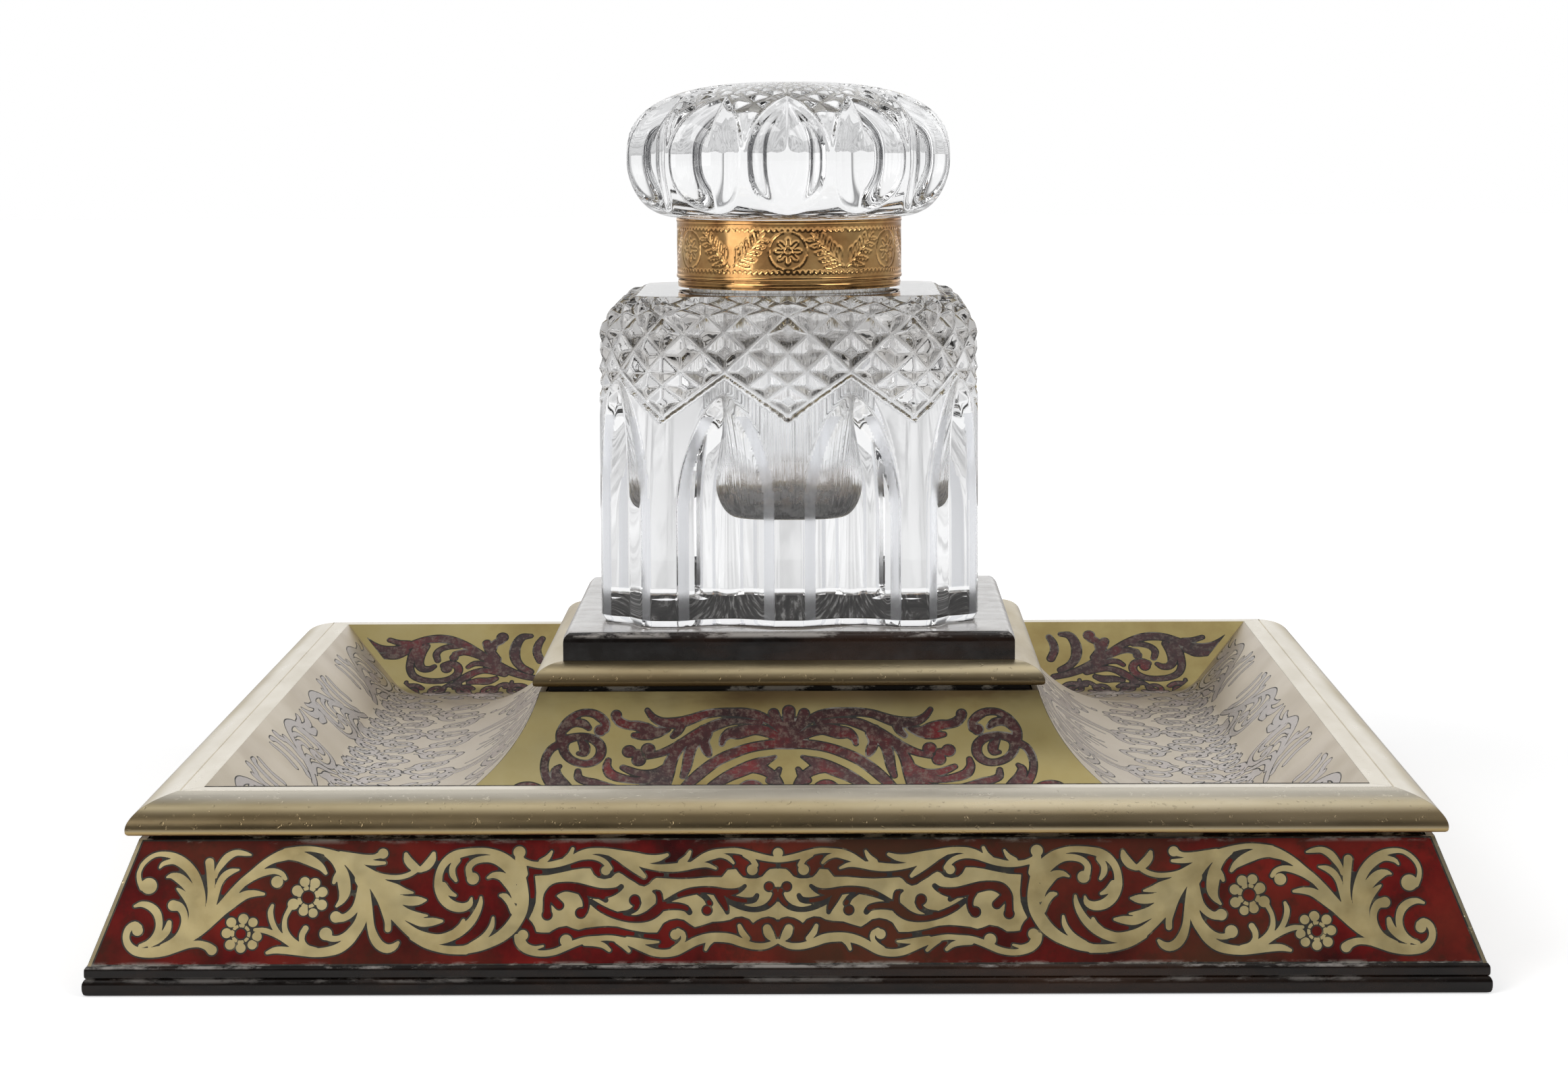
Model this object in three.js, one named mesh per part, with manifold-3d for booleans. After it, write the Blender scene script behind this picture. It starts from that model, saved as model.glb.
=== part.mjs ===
// Desk inkstand: a square tray base in brass and shell marquetry with a pedestal in its middle,
// and a square cut-glass bottle on it, with a fluted glass lid on a hinged collar.
// Millimetres, +Z up, the front is -Y, and the origin is the middle of the rest face.
import * as THREE from "three";
import { mergeVertices } from "three/addons/utils/BufferGeometryUtils.js";
import Module from "manifold-3d";

const wasm = await Module();
wasm.setup();

// Clearances, and the overrun of every cut
const glue_gap = 0.3;
const mitre_gap = 0.08;
const seat_gap = 0.1;
const plaster_gap = 0.12;
const cut_over = 1;

// Plinth: two black mouldings, one on the other, and the board and baize inside them
const base_width = 254;
const bead_height = 3.1;
const fillet_height = 2.3;
const fillet_setback = 0.4;
const plinth_strip_width = 12;
const baize_thickness = 1;
const bead_nose_shares = [[0.12, 0], [0.03, 0.2], [0, 0.5], [0.03, 0.8], [0.1, 1]];
const fillet_nose_shares = [[0.04, 0], [0, 0.3], [0, 0.7], [0.05, 1]];

// Sloping side panels, and the square brass strings at their corners
const panel_setback = 1;
const panel_height = 21.5;
const panel_batter = 8.4;
const panel_thickness = 1.25;
const string_width = 1.35;

// Brass rim moulding: a thumbnail curve, a scratched line, and a flat band round the tray
const rim_quirk = 1.1;
const rim_overhang = 2.25;
const rim_height = 6.8;
const rim_curve_width = 8.75;
const rim_band_width = 3.9;
const rim_leg_width = 4.2;
const rim_leg_height = 3.2;
const rim_line_width = 0.36;
const rim_line_depth = 0.35;
const rim_nose_shares = [[0.05, 0], [0, 0.16], [0.035, 0.3], [0.115, 0.455], [0.28, 0.63], [0.54, 0.78]];

// Tray: a sloping wall, a rounded foot, a flat floor, and a hollow curve up to the pedestal's neck.
// The shares are of the tray's width from the rim to the neck, and the floor takes the rest.
const tray_depth = 14.4;
const tray_wall_share = 0.204;
const tray_foot_share = 0.11;
const tray_foot_height = 2.64;
const tray_foot_angle = THREE.MathUtils.degToRad(45);
const neck_curve_share = 0.531;
const neck_curve_angle = THREE.MathUtils.degToRad(73);
const neck_height = 22.7;
const sheet_thickness = 1;
const foot_steps = 5;
const neck_steps = 10;

// Brass cap moulding round the top of the pedestal, and the black seat block inside it
const cap_quirk = 1.2;
const cap_margin = 5.55;
const cap_overhang = 1.35;
const cap_height = 4.4;
const cap_strip_width = 10.8;
const cap_quirk_setback = 1.6;
const cap_nose_shares = [[0.03, 0], [0, 0.16], [0.05, 0.45], [0.2, 0.75], [0.48, 1]];
const seat_margin = 6.8;
const seat_height = 5.6;
const seat_round = 2;
const seat_round_steps = 4;

// Bottle: a rounded square with flat sides, a rounded shoulder and a round neck
const bottle_width = 77;
const bottle_corner_radius = 14;
const bottle_side_height = 57;
const bottle_foot_bevel = 1.3;
const shoulder_width = 8.5;
const shoulder_height = 9.1;
const shoulder_slope = 0.2;
const neck_radius = 21;
const neck_glass_height = 6;
const neck_glass_wall = 3.4;
const well_floor = 19.5;
const well_round = 9;

// Cut work on the bottle: twelve pointed flutes, and a band of twelve large diamonds over them
const face_cell_share = 0.358;
const flute_width_share = 0.78;
const flute_depth = 2.2;
const flute_spring_height = 22.5;
const flute_apex_drop = 9.7;
const flute_bevel_share = 0.74;
const flute_bevel_depth_share = 0.42;
const diamond_cross_drop = 5.7;
const diamond_lower_height = 9;
const diamond_upper_height = 11.5;
const groove_depth = 1.1;
const groove_least_share = 0.07;
const groove_most_share = 0.93;
const quarters = 4;
const flute_row_shares = [0.45, 0.72, 0.9, 0.99];
const lower_row_shares = [1, 0.5];
const upper_row_shares = [0.28, 0.5, 0.78, 1];
const shoulder_end_shares = [0.72, 1];
const well_row_shares = [[1, 0], [0.93, 0.4], [0.7, 0.78], [0.36, 0.96]];

// Collars: a low ring cemented on the bottle's neck, and a tall engraved one that holds the lid
const neck_plaster_width = 0.6;
const neck_ring_wall = 0.45;
const neck_ring_lip = 1.15;
const neck_ring_height = 1.5;
const neck_ring_rise = 0.5;
const neck_ring_sleeve_height = 5.6;
const collar_clearance = 0.6;
const collar_height = 12.4;
const collar_wall = 0.8;
const collar_edge_height = 0.9;
const collar_edge_relief = 0.2;
const parting_gap = 0.3;
const round_sides = 48;

// Hinge at the back of the collars: three knuckles on one pin
const hinge_offset = 2.05;
const knuckle_radius = 1.5;
const hinge_pin_radius = 0.6;
const hinge_hole_radius = 0.7;
const hinge_leaf_thickness = 1.2;
const middle_knuckle_length = 6;
const outer_knuckle_length = 4;
const knuckle_gap = 0.2;
const hinge_pin_overhang = 0.3;
const knuckle_sides = 16;

// Lid: a mushroom of solid glass with twelve arched flutes and a stub that the collar holds
const lid_radius = 34.4;
const lid_height = 27.9;
const lid_foot_setback = 0.15;
const lid_lower_height = 12.2;
const lid_top_share = 0.465;
const lid_plaster_width = 0.75;
const lid_stub_length = 6.5;
const lid_flutes = 12;
const lid_flute_depth = 1.5;
const lid_flute_bevel_share = 0.82;
const lid_lower_angle_shares = [0, 0.2, 0.42, 0.7, 1];
const lid_upper_angle_shares = [0.2, 0.4, 0.58, 0.74, 0.88, 1];
const lid_lower_depth_shares = [0, 0.35, 0.85, 1, 1];
const lid_upper_depth_shares = [1, 1, 0.85, 0.5, 0.12, 0];
const lid_lower_width_shares = [0.86, 0.92, 0.95, 0.95, 0.95];
const lid_upper_width_shares = [0.95, 0.93, 0.86, 0.68, 0.4, 0.2];

// Heights and half widths that follow from the sizes above
const half = (size) => size / 2;
const plinth_half = half(base_width);
const panel_foot_z = bead_height + fillet_height;
const panel_top_z = panel_foot_z + panel_height;
const panel_foot_half = plinth_half - panel_setback;
const panel_top_half = panel_foot_half - panel_batter;
const rim_foot_z = panel_top_z + rim_quirk;
const rim_top_z = rim_foot_z + rim_height;
const rim_half = panel_top_half + rim_overhang;
const rim_line_half = rim_half - rim_curve_width;
const tray_half = rim_line_half - rim_band_width;
const ledge_half = rim_half - rim_leg_width;
const ledge_z = rim_foot_z + rim_leg_height;
const bottle_half = half(bottle_width);
const seat_half = bottle_half + seat_margin;
const cap_half = seat_half + cap_margin;
const cap_inner_half = cap_half - cap_strip_width;
const neck_half = cap_half - cap_overhang;
const cap_seat_half = neck_half - cap_quirk_setback;
const tray_width = tray_half - neck_half;
const tray_floor_z = rim_top_z - tray_depth;
const neck_z = tray_floor_z + neck_height;
const cap_foot_z = neck_z + cap_quirk;
const cap_top_z = cap_foot_z + cap_height;
const seat_top_z = cap_top_z + seat_height;
const bottle_foot_z = seat_top_z + seat_gap;
const shoulder_z = bottle_foot_z + bottle_side_height + shoulder_height;
const neck_top_z = shoulder_z + neck_glass_height;
const neck_ring_z = shoulder_z + shoulder_slope + neck_ring_rise;
const collar_foot_z = neck_ring_z + neck_ring_height + parting_gap;
const collar_top_z = collar_foot_z + collar_height;
const diamond_cross_height = bottle_side_height - diamond_cross_drop;
const flute_apex_height = bottle_side_height - flute_apex_drop;
const bore_radius = neck_radius - neck_glass_wall;
const neck_ring_bore_radius = neck_radius + neck_plaster_width;
const neck_ring_sleeve_radius = neck_ring_bore_radius + neck_ring_wall;
const neck_ring_radius = neck_ring_sleeve_radius + neck_ring_lip;
const collar_radius = neck_ring_sleeve_radius + collar_clearance + collar_wall;
const lid_stub_radius = collar_radius - collar_wall - lid_plaster_width;
const lid_foot_radius = collar_radius - lid_foot_setback;
const lid_top_radius = lid_top_share * lid_radius;
const hinge_y = collar_radius + hinge_offset;
const hinge_z = half(neck_ring_z + neck_ring_height + collar_foot_z);

// Colours, roughness and metalness of each material
const finishes = {
  brass: { color: 0xa8945c, roughness: 0.35, metalness: 1 },
  gilt: { color: 0xc99a45, roughness: 0.25, metalness: 1 },
  marquetry: { color: 0x84302a, roughness: 0.3, metalness: 0.2 },
  ebonised: { color: 0x1b1614, roughness: 0.45, metalness: 0 },
  wood: { color: 0x8a6a45, roughness: 0.8, metalness: 0 },
  baize: { color: 0x2f4a33, roughness: 1, metalness: 0 },
  glass: { color: 0xe6eef0, roughness: 0.05, metalness: 0 },
  plaster: { color: 0xe2ddd0, roughness: 0.9, metalness: 0 },
};

const inkstand = new THREE.Group();
const bottle_group = new THREE.Group();
const lid_group = new THREE.Group();
inkstand.add(bottle_group, lid_group);

function addPiece(group, name, geometry, finish, turn = 0) {
  const mesh = new THREE.Mesh(geometry, new THREE.MeshStandardMaterial(finishes[finish]));
  mesh.name = name;
  mesh.rotation.z = turn;
  group.add(mesh);
}

// A solid of revolution about Z from [radius, z] points, counter-clockwise with the radius to the right.
function turned(points, sides, start = 0) {
  const outline = points.map(([radius, z]) => new THREE.Vector2(radius, z));
  const geometry = new THREE.LatheGeometry(outline, sides, start);
  return geometry.rotateX(Math.PI / 2);
}

// A four-sided solid from [half width, z] points: each half width is the distance to a flat side.
function squareTurned(points) {
  const corners = points.map(([side, z]) => [side * Math.SQRT2, z]);
  return turned(corners, quarters, Math.PI / quarters);
}

// A closed body from its vertices and triangles.
function closedBody(vertices, triangles) {
  const geometry = new THREE.BufferGeometry();
  geometry.setAttribute("position", new THREE.Float32BufferAttribute(vertices.flat(), 3));
  geometry.setIndex(triangles.flat());
  return geometry;
}

// The front one of four mitred strips: a closed [half width, z] outline swept along X.
// endAt gives the strip's half length at each point of the outline.
function mitredStrip(outline, endAt = (side) => side - half(mitre_gap)) {
  const left = outline.map(([side, z]) => [-endAt(side, z), -side, z]);
  const right = outline.map(([side, z]) => [endAt(side, z), -side, z]);
  const count = outline.length;
  const contour = outline.map(([side, z]) => new THREE.Vector2(side, z));
  const triangles = [];
  for (const [a, b, c] of THREE.ShapeUtils.triangulateShape(contour, [])) {
    triangles.push([a, b, c], [count + c, count + b, count + a]);
  }
  for (let i = 0; i < count; i++) {
    const next = (i + 1) % count;
    triangles.push([next, i, count + i], [next, count + i, count + next]);
  }
  return closedBody([...left, ...right], triangles);
}

// Four copies of one strip, turned to the front, right, back and left of the base.
function addFourSides(name, geometry, finish) {
  ["front", "right", "back", "left"].forEach((side, turn) => {
    addPiece(inkstand, `${name}_${side}`, geometry, finish, (turn * Math.PI) / 2);
  });
}

// Points of a moulding's nose: shares of its width, inwards, and of its height.
function nosePoints(shares, side, width, foot, height) {
  return shares.map(([inwards, up]) => [side - inwards * width, foot + up * height]);
}

function plinthStrip(shares, side, foot, height) {
  const inner = plinth_half - plinth_strip_width;
  const nose = nosePoints(shares, side, height, foot, height);
  return mitredStrip([...nose, [inner, foot + height], [inner, foot]]);
}

// Half width of the panels' outer face at a height.
function panelHalf(z) {
  return panel_foot_half - (panel_batter * (z - panel_foot_z)) / panel_height;
}

function sidePanel() {
  const outline = [
    [panel_foot_half, panel_foot_z],
    [panel_top_half, panel_top_z],
    [panel_top_half - panel_thickness, panel_top_z],
    [panel_foot_half - panel_thickness, panel_foot_z],
  ];
  return mitredStrip(outline, (side, z) => panelHalf(z) - string_width - half(mitre_gap));
}

// The square brass string that fills the corner between two panels, leaning with them.
function cornerString() {
  const rings = [[panel_foot_half, panel_foot_z], [panel_top_half, panel_top_z]].map(([side, z]) => {
    const inner = side - string_width;
    return [[-side, -side, z], [-inner, -side, z], [-inner, -inner, z], [-side, -inner, z]];
  });
  return ringBody([[centreOf(rings[0])], ...rings, [centreOf(rings[1])]]);
}

function centreOf(ring) {
  const sum = ring.reduce((total, point) => total.map((value, axis) => value + point[axis]));
  return sum.map((value) => value / ring.length);
}

// A closed body skinned over rings of points, each counter-clockwise seen from above.
// A ring of one point closes an end. The rings run up the outside and then down any inside.
function ringBody(rings) {
  const starts = [];
  const vertices = [];
  for (const ring of rings) {
    starts.push(vertices.length);
    vertices.push(...ring);
  }
  const triangles = [];
  for (let j = 0; j + 1 < rings.length; j++) {
    const count = Math.max(rings[j].length, rings[j + 1].length);
    const at = (row, i) => starts[row] + (i % rings[row].length);
    for (let i = 0; i < count; i++) {
      const [a, b, c, d] = [at(j, i), at(j, i + 1), at(j + 1, i + 1), at(j + 1, i)];
      if (a !== b) triangles.push([a, b, c]);
      if (c !== d) triangles.push([a, c, d]);
    }
  }
  return closedBody(vertices, triangles);
}

function rimMoulding() {
  const nose = nosePoints(rim_nose_shares, rim_half, rim_curve_width, rim_foot_z, rim_height);
  return mitredStrip([
    ...nose,
    [rim_line_half + half(rim_line_width), rim_top_z],
    [rim_line_half, rim_top_z - rim_line_depth],
    [rim_line_half - half(rim_line_width), rim_top_z],
    [tray_half, rim_top_z],
    [tray_half, ledge_z],
    [ledge_half, ledge_z],
    [ledge_half, rim_foot_z],
  ]);
}

// A point of a hollow curve that rises from the tray's floor, at a share of its whole angle.
function hollowPoint(start, reach, rise, angle, share) {
  const out = Math.sin(angle * share) / Math.sin(angle);
  const up = (1 - Math.cos(angle * share)) / (1 - Math.cos(angle));
  return [start + reach * out, tray_floor_z + rise * up];
}

// The tray's surface as [half width, z] points, from the rim to the floor and up to the neck.
function traySurface() {
  const foot_reach = tray_foot_share * tray_width;
  const foot_half = tray_half - tray_wall_share * tray_width - foot_reach;
  const neck_reach = neck_curve_share * tray_width;
  const points = [[tray_half, rim_top_z]];
  for (let i = 0; i <= foot_steps; i++) {
    const share = 1 - i / foot_steps;
    points.push(hollowPoint(foot_half, foot_reach, tray_foot_height, tray_foot_angle, share));
  }
  for (let i = 0; i <= neck_steps; i++) {
    const share = i / neck_steps;
    points.push(hollowPoint(neck_half + neck_reach, -neck_reach, neck_height, neck_curve_angle, share));
  }
  return points;
}

// The unit vector from one [half width, z] point to another
function towards(a, b) {
  return new THREE.Vector2(b[0] - a[0], b[1] - a[1]).normalize();
}

// The same line of points, set back from the tray's open side along its normals.
function setBack(points, distance) {
  const last = points.length - 1;
  return points.map(([side, z], i) => {
    const before = towards(points[Math.max(i - 1, 0)], points[Math.max(i, 1)]);
    const after = towards(points[Math.min(i, last - 1)], points[Math.min(i + 1, last)]);
    const along = before.add(after).normalize();
    return [side - along.y * distance, z + along.x * distance];
  });
}

// A point of the line from a to b where it reaches a given value of one coordinate.
function pointWhere(a, b, axis, value) {
  const share = (value - a[axis]) / (b[axis] - a[axis]);
  return a.map((start, i) => start + share * (b[i] - start));
}

// The same surface cut off by the rim's inner face and by the height of the neck.
function trimmedSurface(setback, side, top) {
  const points = setBack(traySurface(), setback);
  const last = points.length - 1;
  points[0] = pointWhere(points[0], points[1], 0, side);
  points[last] = pointWhere(points[last - 1], points[last], 1, top);
  return points;
}

function traySheet() {
  const upper = trimmedSurface(0, tray_half - half(mitre_gap), neck_z);
  const lower = trimmedSurface(sheet_thickness, tray_half - half(mitre_gap), neck_z);
  return mitredStrip([...upper, ...lower.reverse()]);
}

// The wooden ground: one body under the panels, the tray sheets and the cap.
function carcase() {
  const inset = string_width + glue_gap;
  const surface = trimmedSurface(sheet_thickness + glue_gap, tray_half, neck_z - glue_gap);
  return squareTurned([
    [0, panel_foot_z],
    [panel_foot_half - inset, panel_foot_z],
    [panel_top_half - inset, panel_top_z],
    [ledge_half - glue_gap, panel_top_z + glue_gap],
    [ledge_half - glue_gap, ledge_z],
    [tray_half, ledge_z],
    ...surface,
    [cap_seat_half, neck_z - glue_gap],
    [cap_seat_half, cap_foot_z],
    [0, cap_foot_z],
  ]);
}

function bottomBoard() {
  const side = plinth_half - plinth_strip_width - glue_gap;
  return squareTurned([[0, baize_thickness], [side, baize_thickness], [side, panel_foot_z], [0, panel_foot_z]]);
}

function baizePad() {
  const side = plinth_half - plinth_strip_width - glue_gap;
  return squareTurned([[0, 0], [side, 0], [side, baize_thickness], [0, baize_thickness]]);
}

function capMoulding() {
  const nose = nosePoints(cap_nose_shares, cap_half, cap_strip_width, cap_foot_z, cap_height);
  return mitredStrip([...nose, [cap_inner_half, cap_top_z], [cap_inner_half, cap_foot_z]]);
}

// The seat block, with the spigot that drops between the cap mouldings.
function seatBlock() {
  const spigot = cap_inner_half - glue_gap;
  const points = [[0, cap_foot_z], [spigot, cap_foot_z], [spigot, cap_top_z], [seat_half, cap_top_z]];
  for (let i = 0; i <= seat_round_steps; i++) {
    const angle = (half(Math.PI) * i) / seat_round_steps;
    const side = seat_half - seat_round + seat_round * Math.cos(angle);
    points.push([side, seat_top_z - seat_round + seat_round * Math.sin(angle)]);
  }
  return squareTurned([...points, [0, seat_top_z]]);
}

// The bottle's plan: a rounded square. Gives the point and its outward normal at a distance along it,
// counter-clockwise from the middle of the front.
const bottle_straight = bottle_half - bottle_corner_radius;
const bottle_arc = half(Math.PI) * bottle_corner_radius;
const bottle_quarter = 2 * bottle_straight + bottle_arc;
const face_cell_width = face_cell_share * bottle_quarter;

function planPoint(distance) {
  const total = quarters * bottle_quarter;
  const along = ((distance % total) + total) % total;
  const quarter = Math.floor(along / bottle_quarter);
  const rest = along - quarter * bottle_quarter;
  let point = new THREE.Vector2(rest, -bottle_half);
  let normal = new THREE.Vector2(0, -1);
  if (rest > bottle_straight) {
    const turn = Math.min((rest - bottle_straight) / bottle_corner_radius, half(Math.PI));
    normal = new THREE.Vector2(Math.sin(turn), -Math.cos(turn));
    point = new THREE.Vector2(bottle_straight, -bottle_straight).addScaledVector(normal, bottle_corner_radius);
  }
  if (rest > bottle_straight + bottle_arc) {
    point = new THREE.Vector2(bottle_half, rest - bottle_arc - 2 * bottle_straight);
  }
  const origin = new THREE.Vector2(0, 0);
  const turned_by = quarter * half(Math.PI);
  return { point: point.rotateAround(origin, turned_by), normal: normal.rotateAround(origin, turned_by) };
}

// The cells of the cut work, counter-clockwise from the middle of the front: two on each face and one
// round each corner. A corner's flute reaches higher than the others, up to the diamonds' crossing.
function fluteCells() {
  const face_half = half(face_cell_width);
  const corner_half = half(bottle_quarter) - face_cell_width;
  const cells = [];
  for (let quarter = 0; quarter < quarters; quarter++) {
    const start = quarter * bottle_quarter;
    cells.push({ centre: start + face_half, reach: face_half, apex: flute_apex_height });
    cells.push({ centre: start + half(bottle_quarter), reach: corner_half, apex: diamond_cross_height });
    cells.push({ centre: start + bottle_quarter - face_half, reach: face_half, apex: flute_apex_height });
  }
  return cells;
}

// The bottle's profile at a distance up from its foot: how far it is set in, and its height.
function profileAt(rise) {
  if (rise <= bottle_side_height) return { inset: 0, z: bottle_foot_z + rise };
  const angle = (rise - bottle_side_height) / half(shoulder_width + shoulder_height);
  const inset = shoulder_width * (1 - Math.cos(angle));
  return { inset, z: bottle_foot_z + bottle_side_height + shoulder_height * Math.sin(angle) };
}

// Half width of a flute at a height above the foot, as a share of its full half width.
function fluteShare(rise, apex) {
  if (rise <= flute_spring_height) return 1;
  const up = (rise - flute_spring_height) / (apex - flute_spring_height);
  return Math.sqrt(Math.max(0, 1 - up ** 2));
}

// How far a diamond's groove lies from the middle of its cell, as a share of the cell's reach.
function grooveShare(rise) {
  const above = rise - diamond_cross_height;
  return above < 0 ? -above / diamond_lower_height : above / diamond_upper_height;
}

// One half of a cell's columns at a height: shares of the cell's reach, and how deep each one is cut.
function cellColumns(rise, apex) {
  const flute = flute_width_share * fluteShare(rise, apex);
  const groove = grooveShare(rise);
  const line = THREE.MathUtils.clamp(groove, groove_least_share, groove_most_share);
  const in_band = groove <= 1;
  const edge = Math.max(Math.min(flute, line * flute_bevel_share), half(groove_least_share));
  const cut = flute_depth * fluteShare(rise, apex) ** 2;
  const at_crossing = groove < groove_least_share ? groove_depth : 0;
  const at_vertex = in_band && groove >= groove_most_share ? groove_depth : 0;
  return [
    { share: 0, cut: cut + at_crossing, chord: edge },
    { share: edge * flute_bevel_share, cut: cut * flute_bevel_depth_share + at_crossing, chord: edge },
    { share: edge, cut: at_crossing, chord: edge },
    { share: line, cut: in_band ? groove_depth : 0, chord: 0 },
    { share: 1, cut: at_vertex, chord: 0 },
  ];
}

// A point of the bottle's outside. Inside a flute it lies on the chord between the flute's edges.
function cutPoint(cell, column, side, place) {
  const at = (share) => planPoint(cell.centre + side * share * cell.reach);
  const { point, normal } = at(column.share);
  if (column.chord > column.share && place.rise < cell.apex) {
    const near = at(column.chord).point;
    const far = at(-column.chord).point;
    point.lerpVectors(far, near, half(1 + column.share / column.chord));
    normal.copy(at(0).normal);
  }
  point.addScaledVector(normal, -place.inset - column.cut);
  return [point.x, point.y, place.z];
}

// One ring of the bottle's outside at a distance up from its foot.
function cutRing(rise) {
  const place = { ...profileAt(rise), rise };
  return fluteCells().flatMap((cell) => {
    const columns = cellColumns(rise, cell.apex);
    const inner = columns.slice(1, -1);
    return [
      ...inner.map((column) => cutPoint(cell, column, -1, place)).reverse(),
      cutPoint(cell, columns[0], 1, place),
      ...columns.slice(1).map((column) => cutPoint(cell, column, 1, place)),
    ];
  });
}

// A ring of the bottle's foot, drawn in from the lowest cut ring.
function footRing(inset) {
  return cutRing(0).map(([x, y]) => {
    const share = 1 - inset / bottle_half;
    return [x * share, y * share, bottle_foot_z];
  });
}

// A round ring whose points lie at the same bearings as those of the cut rings.
function roundRing(radius, z) {
  return cutRing(diamond_cross_height).map(([x, y]) => {
    const scale = radius / Math.hypot(x, y);
    return [x * scale, y * scale, z];
  });
}

function bottle() {
  const rises = [bottle_foot_bevel, flute_spring_height];
  const flute_rise = flute_apex_height - flute_spring_height;
  flute_row_shares.forEach((share) => rises.push(flute_spring_height + share * flute_rise));
  lower_row_shares.forEach((share) => rises.push(diamond_cross_height - share * diamond_lower_height));
  rises.push(diamond_cross_height);
  upper_row_shares.forEach((share) => rises.push(diamond_cross_height + share * diamond_upper_height));
  const shoulder_length = half(Math.PI) * half(shoulder_width + shoulder_height);
  shoulder_end_shares.forEach((share) => rises.push(bottle_side_height + share * shoulder_length));
  rises.sort((a, b) => a - b);
  const well_z = bottle_foot_z + well_floor;
  const well = well_row_shares.map(([out, down]) => roundRing(out * bore_radius, well_z + (1 - down) * well_round));
  return ringBody([
    [[0, 0, bottle_foot_z]],
    footRing(bottle_foot_bevel),
    ...rises.map(cutRing),
    roundRing(neck_radius, shoulder_z + shoulder_slope),
    roundRing(neck_radius, neck_top_z),
    roundRing(bore_radius, neck_top_z),
    ...well,
    [[0, 0, well_z]],
  ]);
}

// Solids for the booleans of the collars
function solidOf(geometry) {
  const bare = geometry.index ? geometry.toNonIndexed() : geometry.clone();
  bare.deleteAttribute("normal");
  bare.deleteAttribute("uv");
  const merged = mergeVertices(bare);
  const vertProperties = merged.getAttribute("position").array;
  const triVerts = new Uint32Array(merged.index.array);
  return new wasm.Manifold(new wasm.Mesh({ numProp: 3, vertProperties, triVerts }));
}

function geometryOf(solid) {
  const { vertProperties, triVerts } = solid.getMesh();
  const geometry = new THREE.BufferGeometry();
  geometry.setAttribute("position", new THREE.Float32BufferAttribute(vertProperties, 3));
  return geometry.setIndex(new THREE.BufferAttribute(triVerts, 1));
}

// A round bar on the hinge's axis.
function hingeBar(radius, length, middle) {
  const bar = new THREE.CylinderGeometry(radius, radius, length, knuckle_sides);
  return solidOf(bar.rotateZ(half(Math.PI)).translate(middle, hinge_y, hinge_z));
}

// The leaf that joins a knuckle to its ring, from inside the ring's wall to the hinge's axis.
function hingeLeaf(length, middle, wall_y, foot_z) {
  const reach = hinge_y - wall_y;
  const leaf = new THREE.BoxGeometry(length, reach, hinge_leaf_thickness);
  return solidOf(leaf.translate(middle, wall_y + half(reach), foot_z + half(hinge_leaf_thickness)));
}

function ringWithKnuckles(ring, middles, length, wall_y, leaf_z) {
  let solid = ring;
  for (const middle of middles) {
    solid = solid.add(hingeBar(knuckle_radius, length, middle));
    solid = solid.add(hingeLeaf(length, middle, wall_y, leaf_z));
  }
  const hole_length = middle_knuckle_length + 2 * (outer_knuckle_length + cut_over);
  return geometryOf(solid.subtract(hingeBar(hinge_hole_radius, hole_length, 0)));
}

function neckRing() {
  const flange_top = neck_ring_z + neck_ring_height;
  const ring = solidOf(turned([
    [neck_ring_bore_radius, neck_ring_z],
    [neck_ring_radius, neck_ring_z],
    [neck_ring_radius, flange_top],
    [neck_ring_sleeve_radius, flange_top],
    [neck_ring_sleeve_radius, neck_ring_z + neck_ring_sleeve_height],
    [neck_ring_bore_radius, neck_ring_z + neck_ring_sleeve_height],
    [neck_ring_bore_radius, neck_ring_z],
  ], round_sides));
  const offset = half(middle_knuckle_length) + knuckle_gap + half(outer_knuckle_length);
  const wall_y = half(neck_ring_radius + neck_ring_sleeve_radius);
  const leaf_z = flange_top - hinge_leaf_thickness;
  return ringWithKnuckles(ring, [-offset, offset], outer_knuckle_length, wall_y, leaf_z);
}

function lidCollar() {
  const inner = collar_radius - collar_wall;
  const plain = collar_radius - collar_edge_relief;
  const ring = solidOf(turned([
    [inner, collar_foot_z],
    [collar_radius, collar_foot_z],
    [collar_radius, collar_foot_z + collar_edge_height],
    [plain, collar_foot_z + collar_edge_height],
    [plain, collar_top_z - collar_edge_height],
    [collar_radius, collar_top_z - collar_edge_height],
    [collar_radius, collar_top_z],
    [inner, collar_top_z],
    [inner, collar_foot_z],
  ], round_sides));
  const wall_y = collar_radius - half(collar_wall);
  return ringWithKnuckles(ring, [0], middle_knuckle_length, wall_y, collar_foot_z);
}

function hingePin() {
  const length = middle_knuckle_length + 2 * (knuckle_gap + outer_knuckle_length + hinge_pin_overhang);
  return geometryOf(hingeBar(hinge_pin_radius, length, 0));
}

function plasterRing(inner, outer, foot, top) {
  return turned([[inner, foot], [outer, foot], [outer, top], [inner, top], [inner, foot]], round_sides);
}

function neckPlaster() {
  const foot = neck_ring_z;
  const top = neck_ring_z + neck_ring_sleeve_height - plaster_gap;
  return plasterRing(neck_radius + plaster_gap, neck_ring_bore_radius - plaster_gap, foot, top);
}

function lidPlaster() {
  const foot = collar_top_z - lid_stub_length + plaster_gap;
  const outer = collar_radius - collar_wall - plaster_gap;
  return plasterRing(lid_stub_radius + plaster_gap, outer, foot, collar_top_z - plaster_gap);
}

// The lid's radius and height at a share of its lower or its upper curve.
function lidLower(share) {
  const angle = half(Math.PI) * share;
  const bulge = lid_radius - lid_foot_radius;
  return [lid_foot_radius + bulge * Math.sin(angle), lid_lower_height * (1 - Math.cos(angle))];
}

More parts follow.
